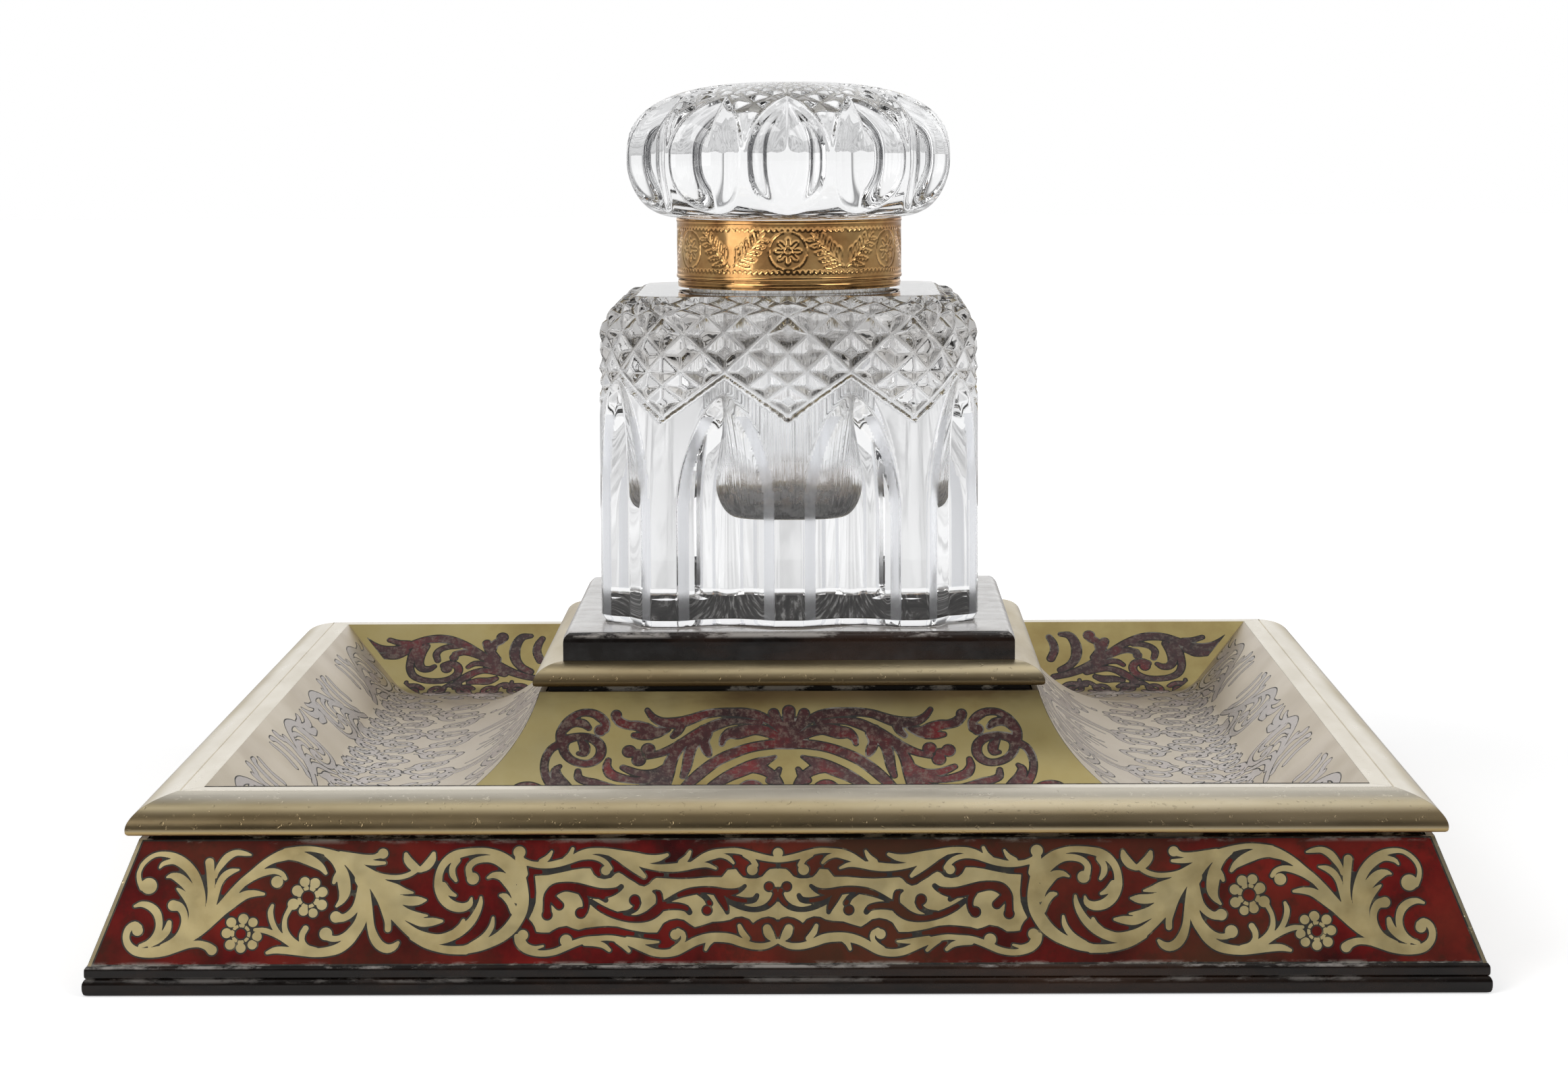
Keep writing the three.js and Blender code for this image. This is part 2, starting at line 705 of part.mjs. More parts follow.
function lidUpper(share) {
  const angle = half(Math.PI) * share;
  const rise = lid_height - lid_lower_height;
  const reach = lid_radius - lid_top_radius;
  return [lid_top_radius + reach * Math.cos(angle), lid_lower_height + rise * Math.sin(angle)];
}

// One ring of the lid: in each of its flutes the middle is cut deepest, and a bevel leads to its edges.
function lidRing([radius, up], width_share, depth_share) {
  const pitch = (2 * Math.PI) / lid_flutes;
  const cut = lid_flute_depth * depth_share;
  const bevel = width_share * lid_flute_bevel_share;
  const columns = [
    [-width_share, 0],
    [-bevel, half(cut)],
    [0, cut],
    [bevel, half(cut)],
    [width_share, 0],
    [1, 0],
  ];
  const ring = [];
  for (let flute = 0; flute < lid_flutes; flute++) {
    for (const [share, depth] of columns) {
      const angle = pitch * (flute + half(share)) - half(Math.PI);
      const reach = radius - depth;
      ring.push([reach * Math.cos(angle), reach * Math.sin(angle), collar_top_z + plaster_gap + up]);
    }
  }
  return ring;
}

function lidGlass() {
  const foot = -lid_stub_length - plaster_gap;
  const lower = lid_lower_angle_shares.map((share, i) =>
    lidRing(lidLower(share), lid_lower_width_shares[i], lid_lower_depth_shares[i]));
  const upper = lid_upper_angle_shares.map((share, i) =>
    lidRing(lidUpper(share), lid_upper_width_shares[i], lid_upper_depth_shares[i]));
  const plain_share = lid_lower_width_shares[0];
  return ringBody([
    [[0, 0, collar_top_z + plaster_gap + foot]],
    lidRing([lid_stub_radius, foot], plain_share, 0),
    lidRing([lid_stub_radius, 0], plain_share, 0),
    ...lower,
    ...upper,
    [[0, 0, collar_top_z + plaster_gap + lid_height]],
  ]);
}

// The base
addFourSides("plinth_bead", plinthStrip(bead_nose_shares, plinth_half, 0, bead_height), "ebonised");
const fillet_half = plinth_half - fillet_setback;
addFourSides("plinth_fillet", plinthStrip(fillet_nose_shares, fillet_half, bead_height, fillet_height), "ebonised");
addFourSides("side_panel", sidePanel(), "marquetry");
addFourSides("corner_string", cornerString(), "brass");
addFourSides("rim_moulding", rimMoulding(), "brass");
addFourSides("tray_sheet", traySheet(), "marquetry");
addFourSides("cap_moulding", capMoulding(), "brass");
addPiece(inkstand, "carcase", carcase(), "wood");
addPiece(inkstand, "bottom_board", bottomBoard(), "wood");
addPiece(inkstand, "baize_pad", baizePad(), "baize");
addPiece(inkstand, "seat_block", seatBlock(), "ebonised");

// The bottle, which lifts off its seat
addPiece(bottle_group, "bottle", bottle(), "glass");
addPiece(bottle_group, "neck_plaster", neckPlaster(), "plaster");
addPiece(bottle_group, "neck_ring", neckRing(), "gilt");
addPiece(bottle_group, "hinge_pin", hingePin(), "gilt");

// The lid, which turns on the hinge
addPiece(lid_group, "lid_collar", lidCollar(), "gilt");
addPiece(lid_group, "lid_plaster", lidPlaster(), "plaster");
addPiece(lid_group, "lid_glass", lidGlass(), "glass");

export default inkstand;
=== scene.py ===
# Desk inkstand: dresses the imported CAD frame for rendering. Shapes are worked out in millimetres.
import math

import bmesh
import bpy
import numpy as np
from mathutils import Matrix, Vector
from mathutils.geometry import delaunay_2d_cdt


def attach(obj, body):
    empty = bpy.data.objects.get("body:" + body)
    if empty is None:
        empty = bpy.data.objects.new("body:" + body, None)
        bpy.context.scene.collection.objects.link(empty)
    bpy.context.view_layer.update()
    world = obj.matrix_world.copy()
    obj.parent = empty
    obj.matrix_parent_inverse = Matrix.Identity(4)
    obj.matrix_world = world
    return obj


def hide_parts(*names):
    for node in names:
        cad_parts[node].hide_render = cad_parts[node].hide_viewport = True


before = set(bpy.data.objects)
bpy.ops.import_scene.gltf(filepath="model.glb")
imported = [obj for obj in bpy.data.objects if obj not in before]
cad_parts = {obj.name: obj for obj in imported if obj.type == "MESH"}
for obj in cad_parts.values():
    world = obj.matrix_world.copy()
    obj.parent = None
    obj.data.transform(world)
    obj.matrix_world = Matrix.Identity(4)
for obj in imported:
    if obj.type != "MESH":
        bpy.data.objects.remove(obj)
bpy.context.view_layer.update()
MM = 0.001
PI = math.pi
SIDES = ("front", "right", "back", "left")
SHARP_ANGLE = math.radians(28)


# Shader helpers: each adds a node to a tree and gives back the socket that carries its result
def wire(tree, value, socket):
    # A number or a colour is set on the socket itself
    if isinstance(value, tuple):
        socket.default_value = (*value, 1.0)
    elif isinstance(value, (int, float)):
        socket.default_value = value
    else:
        tree.links.new(value, socket)


def feed(tree, **inputs):
    for key, value in inputs.items():
        wire(tree, value, tree.nodes["Principled BSDF"].inputs[key.replace("_", " ")])


def principled(name, painter, color, roughness, metallic=0.0, **inputs):
    # A material, whose tree a painter may add to
    material = bpy.data.materials.new(name)
    material.use_nodes = True
    feed(material.node_tree, Base_Color=color, Roughness=roughness, Metallic=metallic, **inputs)
    if painter:
        painter(material.node_tree)
    return material


def object_place(tree):
    return tree.nodes.new("ShaderNodeTexCoord").outputs["Object"]


def axes_of(tree, place):
    split = tree.nodes.new("ShaderNodeSeparateXYZ")
    tree.links.new(place, split.inputs[0])
    return [split.outputs[axis] for axis in "XYZ"]


def noise(tree, scale, detail=4.0, rough=0.55, stretch=(1, 1, 1), distortion=0.0):
    mapping = tree.nodes.new("ShaderNodeMapping")
    mapping.inputs["Scale"].default_value = stretch
    wire(tree, object_place(tree), mapping.inputs["Vector"])
    texture = tree.nodes.new("ShaderNodeTexNoise")
    inputs = {"Vector": mapping.outputs["Vector"], "Scale": scale, "Detail": detail, "Roughness": rough,
              "Distortion": distortion}
    for key, value in inputs.items():
        wire(tree, value, texture.inputs[key])
    return texture.outputs["Fac"]


def mottled(tree, scale, *stops, **how):
    # Noise through a ramp, whose stops are two or more places, each with a value or a colour
    node = tree.nodes.new("ShaderNodeValToRGB")
    elements = node.color_ramp.elements
    while len(elements) < len(stops):
        elements.new(0.5)
    for element, (place, value) in zip(elements, stops):
        element.position = place
        element.color = (*(value if isinstance(value, tuple) else (value,) * 3), 1.0)
    tree.links.new(noise(tree, scale, **how), node.inputs["Fac"])
    return node.outputs["Color"]


def blend_color(tree, factor, a, b):
    node = tree.nodes.new("ShaderNodeMix")
    node.data_type = "RGBA"
    colors = [s for s in node.inputs if s.type == "RGBA"]
    for value, socket in zip((factor, a, b), (node.inputs[0], *colors)):
        wire(tree, value, socket)
    return next(s for s in node.outputs if s.type == "RGBA")


def bump(tree, height, distance, strength):
    node = tree.nodes.new("ShaderNodeBump")
    for key, value in (("Strength", strength), ("Distance", distance), ("Height", height)):
        wire(tree, value, node.inputs[key])
    feed(tree, Normal=node.outputs["Normal"])


def math_node(tree, operation, a, b=0.0):
    node = tree.nodes.new("ShaderNodeMath")
    node.operation = operation
    wire(tree, a, node.inputs[0])
    wire(tree, b, node.inputs[1])
    return node.outputs[0]


def product(tree, first, *others):
    for other in others:
        first = math_node(tree, "MULTIPLY", first, other)
    return first


def most(tree, a, b):
    return math_node(tree, "MAXIMUM", a, b)


def zone(tree, value, start, full):
    # Softly from nothing at the start to all at the full value, which may be the lower one
    node = tree.nodes.new("ShaderNodeMapRange")
    node.interpolation_type = "SMOOTHSTEP"
    node.inputs["From Min"].default_value = start
    node.inputs["From Max"].default_value = full
    tree.links.new(value, node.inputs["Value"])
    return node.outputs[0]


def above(tree, start, full):
    # The same, over heights on the object in millimetres
    return zone(tree, axes_of(tree, object_place(tree))[2], start * MM, full * MM)


def belt(tree, base, *steps):
    # All between the two middle heights, nothing below the first or above the last; each is given from a base
    start, full, last, end = (base + step for step in steps)
    return product(tree, above(tree, start, full), above(tree, end, last))


# Object helpers
def solid_mesh(name, points, faces, *materials):
    # A smooth mesh from points in millimetres
    mesh = bpy.data.meshes.new(name)
    mesh.from_pydata((np.asarray(points) * MM).tolist(), [], faces)
    mesh.polygons.foreach_set("use_smooth", np.ones(len(mesh.polygons), bool))
    for material in materials:
        mesh.materials.append(material)
    return mesh


def add_piece(name, mesh, body, slot, replaced=(), turn=0):
    piece = bpy.data.objects.new(name, mesh)
    piece.matrix_world = Matrix.Rotation(turn * PI / 2, 4, "Z")
    bpy.context.scene.collection.objects.link(piece)
    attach(piece, body)
    if replaced:
        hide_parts(*replaced)


def add_sharp(name, mesh, *place):
    # The same for a piece with sharp edges
    mesh.set_sharp_from_angle(angle=SHARP_ANGLE)
    add_piece(name, mesh, *place)


def make_outward(mesh):
    work = bmesh.new()
    work.from_mesh(mesh)
    bmesh.ops.recalc_face_normals(work, faces=work.faces)
    work.to_mesh(mesh)
    work.free()
    return mesh


def ring_quads(rows, size, loop=False):
    # Quads between neighbouring rings of points; in a loop, the last ring also meets the first
    index = np.arange(rows * size).reshape(rows, size)
    if loop:
        index = np.vstack([index, index[:1]])
    following = np.roll(index, -1, 1)
    quads = np.stack([index[:-1], following[:-1], following[1:], index[1:]], -1)
    return quads.reshape(-1, 4).tolist()


def at_height(flat, z):
    return np.column_stack([flat, np.full(len(flat), z)])


def circle(angle, radius, z):
    return at_height(np.column_stack([radius * np.cos(angle), radius * np.sin(angle)]), z)


def full_turn(count):
    return np.arange(count) * 2 * PI / count


# Marquetry patterns, as brush strokes: the places of a smooth line with its half width at each, in pixels of
# the photograph. They were drawn, and the right halves are mirrored from the left. The cartouche is an
# outline.
PANEL_SCROLLS = """
221,1313,12 / 211,1316,4 207,1306,3.6 206,1295,3.2 210,1284,3.2 219,1274,3.2 231,1267,3.2 245,1266,4
261,1270,5 276,1280,6 288,1296,7 296,1316,6.5 298,1336,7 293,1356,8 286,1375,8 278,1388,6 262,1398,3 /
237,1286,1.5 241,1281,3 248,1278,3.6 259,1277,4 272,1283,5 283,1294,5 292,1311,5 297,1330,6 / 248,1300,1.5
255,1298,4 265,1301,7 275,1309,7.5 284,1321,7 291,1335,7 / 263,1317,1.5 268,1321,3.5 275,1328,5 283,1338,7
288,1352,8 287,1367,8 281,1381,7 / 311,1278,6.5 312,1290,6 313,1305,6 313,1320,5 311,1337,4.5 306,1352,4
300,1366,4 293,1377,4 284,1387,6 270,1397,5 255,1402,2 / 372,1267,1.5 363,1265,3.5 350,1264,4.5 338,1270,5.5
329,1280,5 322,1291,3.5 320,1300,2 / 354,1289,1.5 342,1292,4.5 332,1299,5 325,1310,4.5 321,1325,4 317,1340,4
311,1355,3.5 305,1368,3 / 262,1398,4 285,1388,6 303,1374,7 320,1356,8.5 334,1339,8 347,1322,6.5 361,1307,6
376,1294,5.5 390,1282,5.5 405,1273,6.5 422,1267,8.5 440,1263,7.5 / 345,1322,5 360,1309,5.5 376,1299,5.5
392,1293,5 407,1291,4.2 418,1295,3.6 423,1302,3 / 411,1307,8.8 / 391,1325,2.2 379,1324,4.5 365,1326,6
352,1333,7 340,1341,8 328,1350,8 315,1362,8 300,1375,7 285,1387,6 / 204,1379,8 / 207,1374,4 200,1370,4.5
191,1376,5 187,1388,5 190,1400,5.5 200,1409,6.5 214,1412,7 230,1411,8 247,1408,8 263,1404,6.5 280,1400,5
296,1399,5 308,1403,6 314,1408,7.5 / 200,1343,2 210,1340,4 222,1343,5.5 232,1352,6 236,1365,5.2 235,1378,5
229,1390,5 219,1398,4 208,1402,3 / 251,1367,3.5 248,1378,5.5 242,1386,5.5 233,1394,5 222,1400,4 / 257,1342,8
266,1344,6.5 272,1352,5.5 274,1364,5 271,1377,5 264,1388,4.5 254,1396,4 240,1402,3 / 378,1378,2.6 392,1379,4
406,1384,4 420,1391,4.5 432,1399,5 445,1406,6 / 404,1342,2.4 401,1352,4 403,1365,4 409,1378,4 418,1388,3.5
428,1396,3 / 430,1346,3.6 423,1360,3.2 422,1375,4 427,1388,5 437,1400,7 450,1408,8 / 396,1412,2.5 410,1408,5
430,1409,5.5 450,1411,6 468,1412,6.5 487,1410,7 503,1405,7.5 517,1395,7 527,1384,5.5 536,1370,5 541,1352,5.5
543,1335,6 541,1318,7 535,1303,9 / 453,1376,4.5 448,1385,4.5 448,1395,4 455,1404,4 468,1408,4 / 483,1384,9.5
/ 484,1388,5 491,1391,4.5 501,1391,4.2 512,1386,4.2 522,1377,4.5 530,1366,4.5 535,1352,4.5 537,1338,4 /
498,1359,8.5 / 500,1360,7 510,1360,5.5 520,1354,5.5 528,1344,5.5 532,1331,5 535,1316,5 / 499,1343,2
507,1334,5 511,1322,8.2 510,1308,9.5 508,1295,8.5 503,1284,7 495,1274,5.5 485,1266,4.5 / 495,1308,2.6
498,1301,4 502,1294,4 / 483,1294,2.6 477,1286,4.8 467,1279,7 455,1273,8 441,1268,8 426,1266,8 / 424,1263,6
442,1259,4.5 460,1258,4 478,1261,4.5 495,1266,5.5 510,1272,6.5 522,1281,8 532,1292,9 538,1305,8.5 540,1320,7
/ 505,1266,4.5 522,1269,5 540,1271,4.5 555,1270,3.6 564,1267,5 / 568,1265,7.6 / 522,1274,5 540,1277,4.5
556,1279,3.8 570,1279,2.4 / 528,1282,6 545,1290,4.5 560,1297,4 577,1300,3.6 593,1300,3.6 607,1296,3.6
618,1289,3.6 / 602,1266,3 605,1275,6 613,1284,6.5 622,1289,4 / 643,1265,3 640,1274,6 633,1283,6.5 624,1289,4
/ 543,1295,6 557,1303,6 571,1311,6.5 586,1317,7.5 600,1321,4.5 612,1323,1.5 / 631,1334,1.8 619,1335,6.5
604,1335,7 590,1331,6 577,1323,4.5 566,1314,4 / 633,1357,1.6 617,1356,4.5 602,1352,6 588,1344,7.5
577,1333,7.5 567,1320,6.5 557,1308,6 546,1298,6 / 655,1365,2.2 641,1366,6 626,1367,6.5 612,1363,5.5
598,1357,4.5 586,1348,4 / 560,1322,5 568,1337,6 577,1350,6.5 588,1362,6 600,1373,7 616,1385,8.5 634,1391,8.5
652,1392,7.5 669,1387,7.5 685,1378,7 698,1366,6 707,1352,5 712,1339,3.6 713,1330,2 / 687,1364,2.6
683,1373,4.2 675,1381,5 / 575,1377,4.6 575,1366,4.8 571,1352,5 566,1338,5 559,1324,5 551,1310,6 / 543,1322,6
546,1340,5.5 548,1358,5.2 550,1375,5.6 555,1390,6.8 563,1401,7 574,1406,6.5 584,1403,5 590,1397,2.6 /
612,1389,5 630,1399,5.5 648,1405,5.5 668,1408,6 690,1408,6.5 / 699,1331,1.6 696,1340,4.5 685,1345,6.5
670,1342,7.5 658,1332,7.5 651,1317,6.8 650,1302,5.6 654,1287,5.4 663,1275,6 676,1267,6.5 692,1263,5.5
710,1261,4.6 726,1262,4.6 742,1267,5 754,1275,6 764,1286,7.5 771,1300,8 775,1316,7.5 776,1332,8 773,1348,9
766,1362,9.5 756,1376,9.5 742,1388,8.5 725,1397,7.5 707,1403,7.5 686,1408,6 / 676,1305,2.4 671,1296,4.4
671,1285,4.6 678,1275,4.6 / 675,1327,2.2 665,1322,4.6 657,1312,5 / 701,1302,9 / 696,1297,5 695,1286,4.6
703,1277,4.6 717,1273,5 732,1274,5.5 746,1281,6.5 757,1291,7 766,1303,7 / 723,1301,1.8 732,1297,4.2
744,1299,6.5 753,1307,7.8 761,1319,7 766,1333,6 / 742,1327,2.4 749,1329,5 756,1338,5 762,1350,6 / 731,1360,2
729,1372,3.8 722,1384,4.5 712,1393,4.5 698,1401,4 / 770,1263,9 / 770,1272,6.5 773,1283,7 776,1295,6.5 /
772,1275,5 786,1280,4 800,1282,4.6 815,1282,4.8 830,1279,5.4 845,1275,4.8 860,1271,4 876,1270,3.6
889,1273,3.8 898,1279,4 904,1287,3.8 / 898,1290,7 / 818,1262,1.8 812,1271,3.8 803,1277,4.5 / 849,1258,2.6
845,1267,3.6 838,1274,4 / 846,1273,3 858,1266,4 872,1262,4.6 888,1261,4.4 904,1263,5.4 922,1267,6.5
940,1270,7 958,1273,6.5 975,1272,5 989,1267,2.6 / 905,1265,4 917,1271,5 928,1278,6 938,1285,6 947,1292,5
955,1299,2.8 / 936,1277,2 948,1281,3.2 962,1284,4 979,1286,5 997,1286,6.2 1015,1284,6.2 1032,1282,4.6
1048,1282,3.4 1061,1287,1.8 / 1023,1262,2 1018,1271,4 1010,1278,5 / 1022,1281,1.8 1032,1275,2.8
1044,1268,3.6 1058,1263,3.8 1074,1261,3.6 1092,1261,4.2 1110,1265,4.6 1127,1270,4.8 1143,1273,4.4
1153,1274,4.2 / 1087,1279,2 1079,1271,3.4 1067,1268,3.2 1053,1271,3.6 1039,1276,3 1026,1281,1.8 /
1115,1289,8 / 1104,1267,3.6 1114,1273,4 1120,1282,4 / 1153,1264,7.5 / 775,1386,8 / 766,1388,4 768,1398,4
778,1407,4.8 792,1412,4.6 808,1413,4.6 824,1410,4.8 838,1404,5 852,1398,5 868,1393,4.6 885,1391,4 903,1390,4
920,1393,4.6 937,1398,5.4 953,1405,5.6 968,1411,5.6 985,1413,5.6 1002,1410,6 1016,1403,6 1031,1395,6.2
1048,1390,6.6 1066,1389,6.8 1084,1391,6.8 1100,1397,6 1117,1402,5 1134,1402,4.6 1148,1397,3.6 1153,1394,3 /
805,1402,1.6 792,1405,3 780,1401,3.6 773,1392,4.5 / 839,1394,9 / 903,1408,2.8 894,1401,4 881,1398,4.4
867,1398,3.6 / 932,1409,2.8 924,1401,3.8 915,1395,3.6 / 976,1396,1.6 961,1396,3.4 945,1394,4 930,1392,4 /
1001,1385,7.5 / 1005,1379,3.5 1012,1384,4 1013,1392,3.6 1007,1400,3.4 998,1407,4 / 1046,1407,2.4
1050,1398,3.8 1058,1391,4 / 1096,1372,3 1100,1382,4.6 1108,1391,4 / 1137,1376,6.2 1140,1384,7.2
1147,1393,3.4
"""

PANEL_FLOWERS = """
357,1384,9.8 357,1384,14.5 343,1367,7.4 361,1362,7.6 375,1367,7 381,1388,7.2 374,1400,7 357,1405,7.2
341,1400,7.4 336,1383,7.4 / 457,1330,11 457,1330,16 452,1307,7.4 467,1309,7.8 478,1322,7.6 477,1341,7.8
464,1353,7 450,1350,7.2 435,1340,8.4 441,1320,8
"""

PANEL_CARTOUCHE = """
793,1298 812,1297 832,1293 850,1289 864,1287 875,1287 880,1296 886,1301 896,1303 906,1301 912,1295 917,1293
923,1296 931,1302 940,1307 947,1312 955,1314 963,1310 968,1304 973,1301 990,1302 1010,1303 1030,1302
1050,1300 1070,1300 1075,1294 1079,1289 1091,1288 1095,1294 1101,1300 1110,1302 1121,1302 1130,1299
1136,1292 1141,1288 1153,1287 1153,1364 1148,1360 1139,1358 1129,1360 1121,1364 1116,1368 1111,1362
1100,1358 1090,1359 1082,1363 1072,1365 1056,1366 1041,1371 1030,1374 1022,1369 1014,1363 1003,1361 992,1363
983,1368 978,1376 974,1382 960,1382 945,1380 930,1377 915,1373 900,1372 885,1373 868,1375 858,1378 850,1376
840,1372 828,1374 820,1378 814,1382 804,1382 795,1381 793,1374 789,1367 784,1362 790,1350 794,1338 795,1322
794,1309
"""

PANEL_SHELLS = """
811,1356,8.5 / 811,1350,7 811,1340,6.5 814,1328,8.5 823,1318,9 838,1314,7.6 855,1316,8.4 872,1321,9
888,1324,8.5 903,1323,7 915,1319,4.8 921,1314,4 / 819,1332,7 829,1342,7.6 / 862,1322,6 868,1332,6
869,1343,5.4 866,1351,6 / 861,1353,9 / 888,1326,6 898,1334,4 / 876,1336,4 890,1346,5.5 906,1354,6 925,1360,6
943,1362,6 960,1358,8 972,1350,9 980,1342,8 / 918,1354,3.6 932,1352,4 942,1346,5 945,1338,6 / 941,1334,9 /
969,1321,2.4 976,1324,5.4 978,1333,5.6 978,1343,7 / 976,1345,7 988,1336,4 1003,1328,4.8 1020,1322,6.2
1040,1319,6 1058,1320,6.6 1074,1323,7 1088,1322,5.6 1098,1318,4 1104,1313,3 / 976,1345,7 990,1343,6.4
1005,1343,6 1017,1346,5.4 1022,1352,4.4 / 1036,1324,3.4 1046,1330,4.6 1052,1339,5.4 / 1048,1349,8.6 /
1062,1322,6 1070,1333,7.4 1076,1345,5.4 1078,1352,3.6 / 1078,1328,5 1092,1333,5.4 1107,1335,5 1118,1333,4.6
1122,1327,3.6 / 1080,1336,4 1098,1344,4.4 1116,1348,4 1133,1345,4.6 1145,1336,5.4 1151,1325,6 /
1140,1314,8.4 / 1149,1320,6
"""

PEDESTAL_SCROLLS = """
1155,1083,2.2 1141,1069,4.5 1125,1061,6 1105,1057,6.3 1085,1056,5.5 1065,1056,5 1045,1059,5 1028,1065,6
1012,1070,7 995,1072,7 980,1070,5.5 968,1063,4 960,1053,2.5 / 1010,1072,7 1006,1083,5 998,1091,3 /
1128,1071,3 1105,1069,3.6 1085,1069,4.6 1066,1073,6.5 1048,1081,7 1031,1091,8 1014,1101,7 996,1110,5.5
978,1117,4.5 960,1121,4 / 933,1114,9 / 961,1111,9 / 947,1127,9 / 945,1118,7 / 914,1060,6.5 / 914,1064,5.5
921,1071,6 933,1075,5.5 945,1076,6.5 958,1081,8.5 970,1086,8 982,1084,5 991,1081,2.4 / 940,1090,3 952,1091,5
965,1090,6 / 1050,1087,5 1044,1100,6 1048,1112,6 1051,1119,3 / 1070,1103,2.5 1073,1094,4.5 1082,1087,7
1094,1086,9 1105,1083,9 1119,1081,7.5 1133,1083,7.5 1147,1089,6.5 1160,1095,6 / 1170,1103,7 1150,1103,6.5
1130,1105,6.5 1110,1109,6.5 1092,1115,7 1075,1122,7.5 1060,1130,7.5 1045,1141,8 1032,1152,8 1020,1163,7
1008,1176,6 1000,1190,4 1001,1203,2 / 1170,1054,7.6 1170,1070,8 1170,1090,12 / 1147,1058,7 1153,1068,5.4
1160,1080,6 1167,1092,8 / 1149,1122,1.5 1138,1127,5 1126,1132,9 1112,1137,10 1098,1143,10 1082,1150,9
1068,1158,8 1055,1167,7 1044,1180,6 1040,1196,3 / 1112,1137,9 1128,1140,8.5 1142,1147,7 1152,1157,6
1157,1170,5 1153,1184,4 1143,1190,3 / 1096,1168,3 1108,1161,4 1120,1162,5 1128,1170,4.6 1124,1180,3 /
1042,1082,6 1033,1095,8 1025,1108,7 1021,1122,6.5 1018,1137,5.6 1013,1151,3.6 / 1010,1103,7 1001,1117,6.5
994,1131,8 990,1145,9 985,1158,10 980,1174,10 978,1192,8 984,1208,5 996,1216,3 / 990,1139,8 975,1145,6.5
960,1147,5.5 945,1146,5.5 933,1142,5 924,1138,3.6 / 902,1127,3 900,1137,5 905,1147,7 915,1152,7 928,1155,6
942,1157,5.4 957,1156,7 972,1153,7 985,1148,7 / 857,1143,3 858,1153,5 868,1158,6 880,1160,6 893,1164,6
910,1168,5 930,1170,4 950,1168,4 972,1162,4 / 835,1105,6 840,1097,6 852,1093,5 866,1092,4.5 880,1096,5.5
890,1105,6 891,1117,6 884,1127,5.5 872,1132,5 858,1131,5 845,1125,5 837,1115,5.5 835,1105,6 / 862,1099,4
867,1108,6.5 866,1116,5 858,1117,2 / 833,1100,7 832,1087,6 838,1074,5 848,1064,4.5 862,1057,4 878,1057,4.5
890,1063,5.5 898,1072,5 897,1081,5 / 890,1083,7.5 / 873,1079,3 866,1073,5 855,1071,5 845,1074,5 838,1081,4 /
830,1103,5 818,1110,4.5 810,1122,4.5 807,1137,4.5 810,1152,5 818,1164,6 830,1173,6 846,1180,6 864,1184,5
880,1182,4 890,1175,3 / 830,1136,2 824,1142,5 826,1153,8 834,1163,9 843,1172,8 / 760,1172,4 770,1165,4
784,1163,4 797,1167,4.5 806,1175,5 808,1187,5 800,1197,4.5 788,1198,3.5 /
1143,1157,6.5 1150,1149,5 1155.5,1140,2.4 / 1150,1160,5 1159,1167,4.4 1169,1171,5
"""

WALL_SCROLLS = """
543,949,3 551,957,6 563,962,6 580,963,5 600,960,4.8 616,954,5.5 632,949,5.6 648,947,6 664,948,6 679,952,5.5
693,958,5 705,965,4.8 717,973,5.4 729,981,6.4 742,989,6.4 758,996,5.4 776,1002,4.6 796,1006,4 / 578,949,3
592,953,3.6 606,954,4 / 560,972,3 574,972,5 588,971,6.5 602,966,5 / 621,957,5 613,969,5.4 609,981,5
608,992,4.6 613,1002,4.4 626,1008,4 645,1010,4 662,1008,4 675,1002,4.6 680,994,5 677,987,5 668,984,4.6
658,987,4.4 / 662,991,7 / 632,958,4.6 624,970,6 621,983,6 626,991,5 636,992,4 644,988,2.4 / 649,979,3.4
647,970,4 653,963,3.5 665,959,3.5 680,958,3.4 / 673,975,5.4 / 675,970,4 688,967,4 702,970,3.6 717,976,3.6 /
694,989,2.4 703,984,3.4 716,984,3.6 729,988,4 742,993,4 / 668,1017,2.6 680,1010,4 692,1003,5.4 704,997,4.5
718,994,4 733,996,4 748,999,4.4 / 695,1012,3 708,1010,5 723,1010,5.4 735,1006,3 / 722,954,5.6 727,966,6
736,978,6 / 745,945,7.6 / 742,950,5.4 733,955,5 729,965,5 / 787,943,2.6 774,945,5 766,955,6 763,967,6.6
765,979,6 773,989,5 786,996,4.4 / 804,947,3.4 798,956,4.6 796,967,5 801,979,5
"""


# Marquetry: the strokes are carried to the object through the photograph's camera
PHOTO_WIDTH, PHOTO_HEIGHT, PHOTO_FOCAL = 2324, 1590, 5700.0
PHOTO_AXIS, PHOTO_AXIS_ROW = 1169.5, 1100
CAMERA_PLACE = np.array([8.167, -804.83, 162.52])
CAMERA_TILT, CAMERA_TURN, CAMERA_ROLL = (math.radians(angle) for angle in (6.68, -0.68, -0.30))
FAR, TINY = 9.0, 1e-6
FIELD_CELL = 0.16
STROKE_STEP, LONGEST_DRAWN = 0.5, 200
MASTIC_WIDTH = 0.3
NARROW_GAP = 0.62
VENEER_LIFT = 0.12
VENEER_DEPTH = 0.5
THIN_SLACK, THIN_LONGEST, THIN_ROUNDS, THIN_COUNT = 0.012, 1.2, 5, 12
MESH_WELD, SMALLEST_FACE = 1e-5, 1e-7
PETAL_SLIT, PETAL_SLIT_REACH = 0.09, 1.5
STROKE_REACH, GAP_REACH = 1.4, 1.0


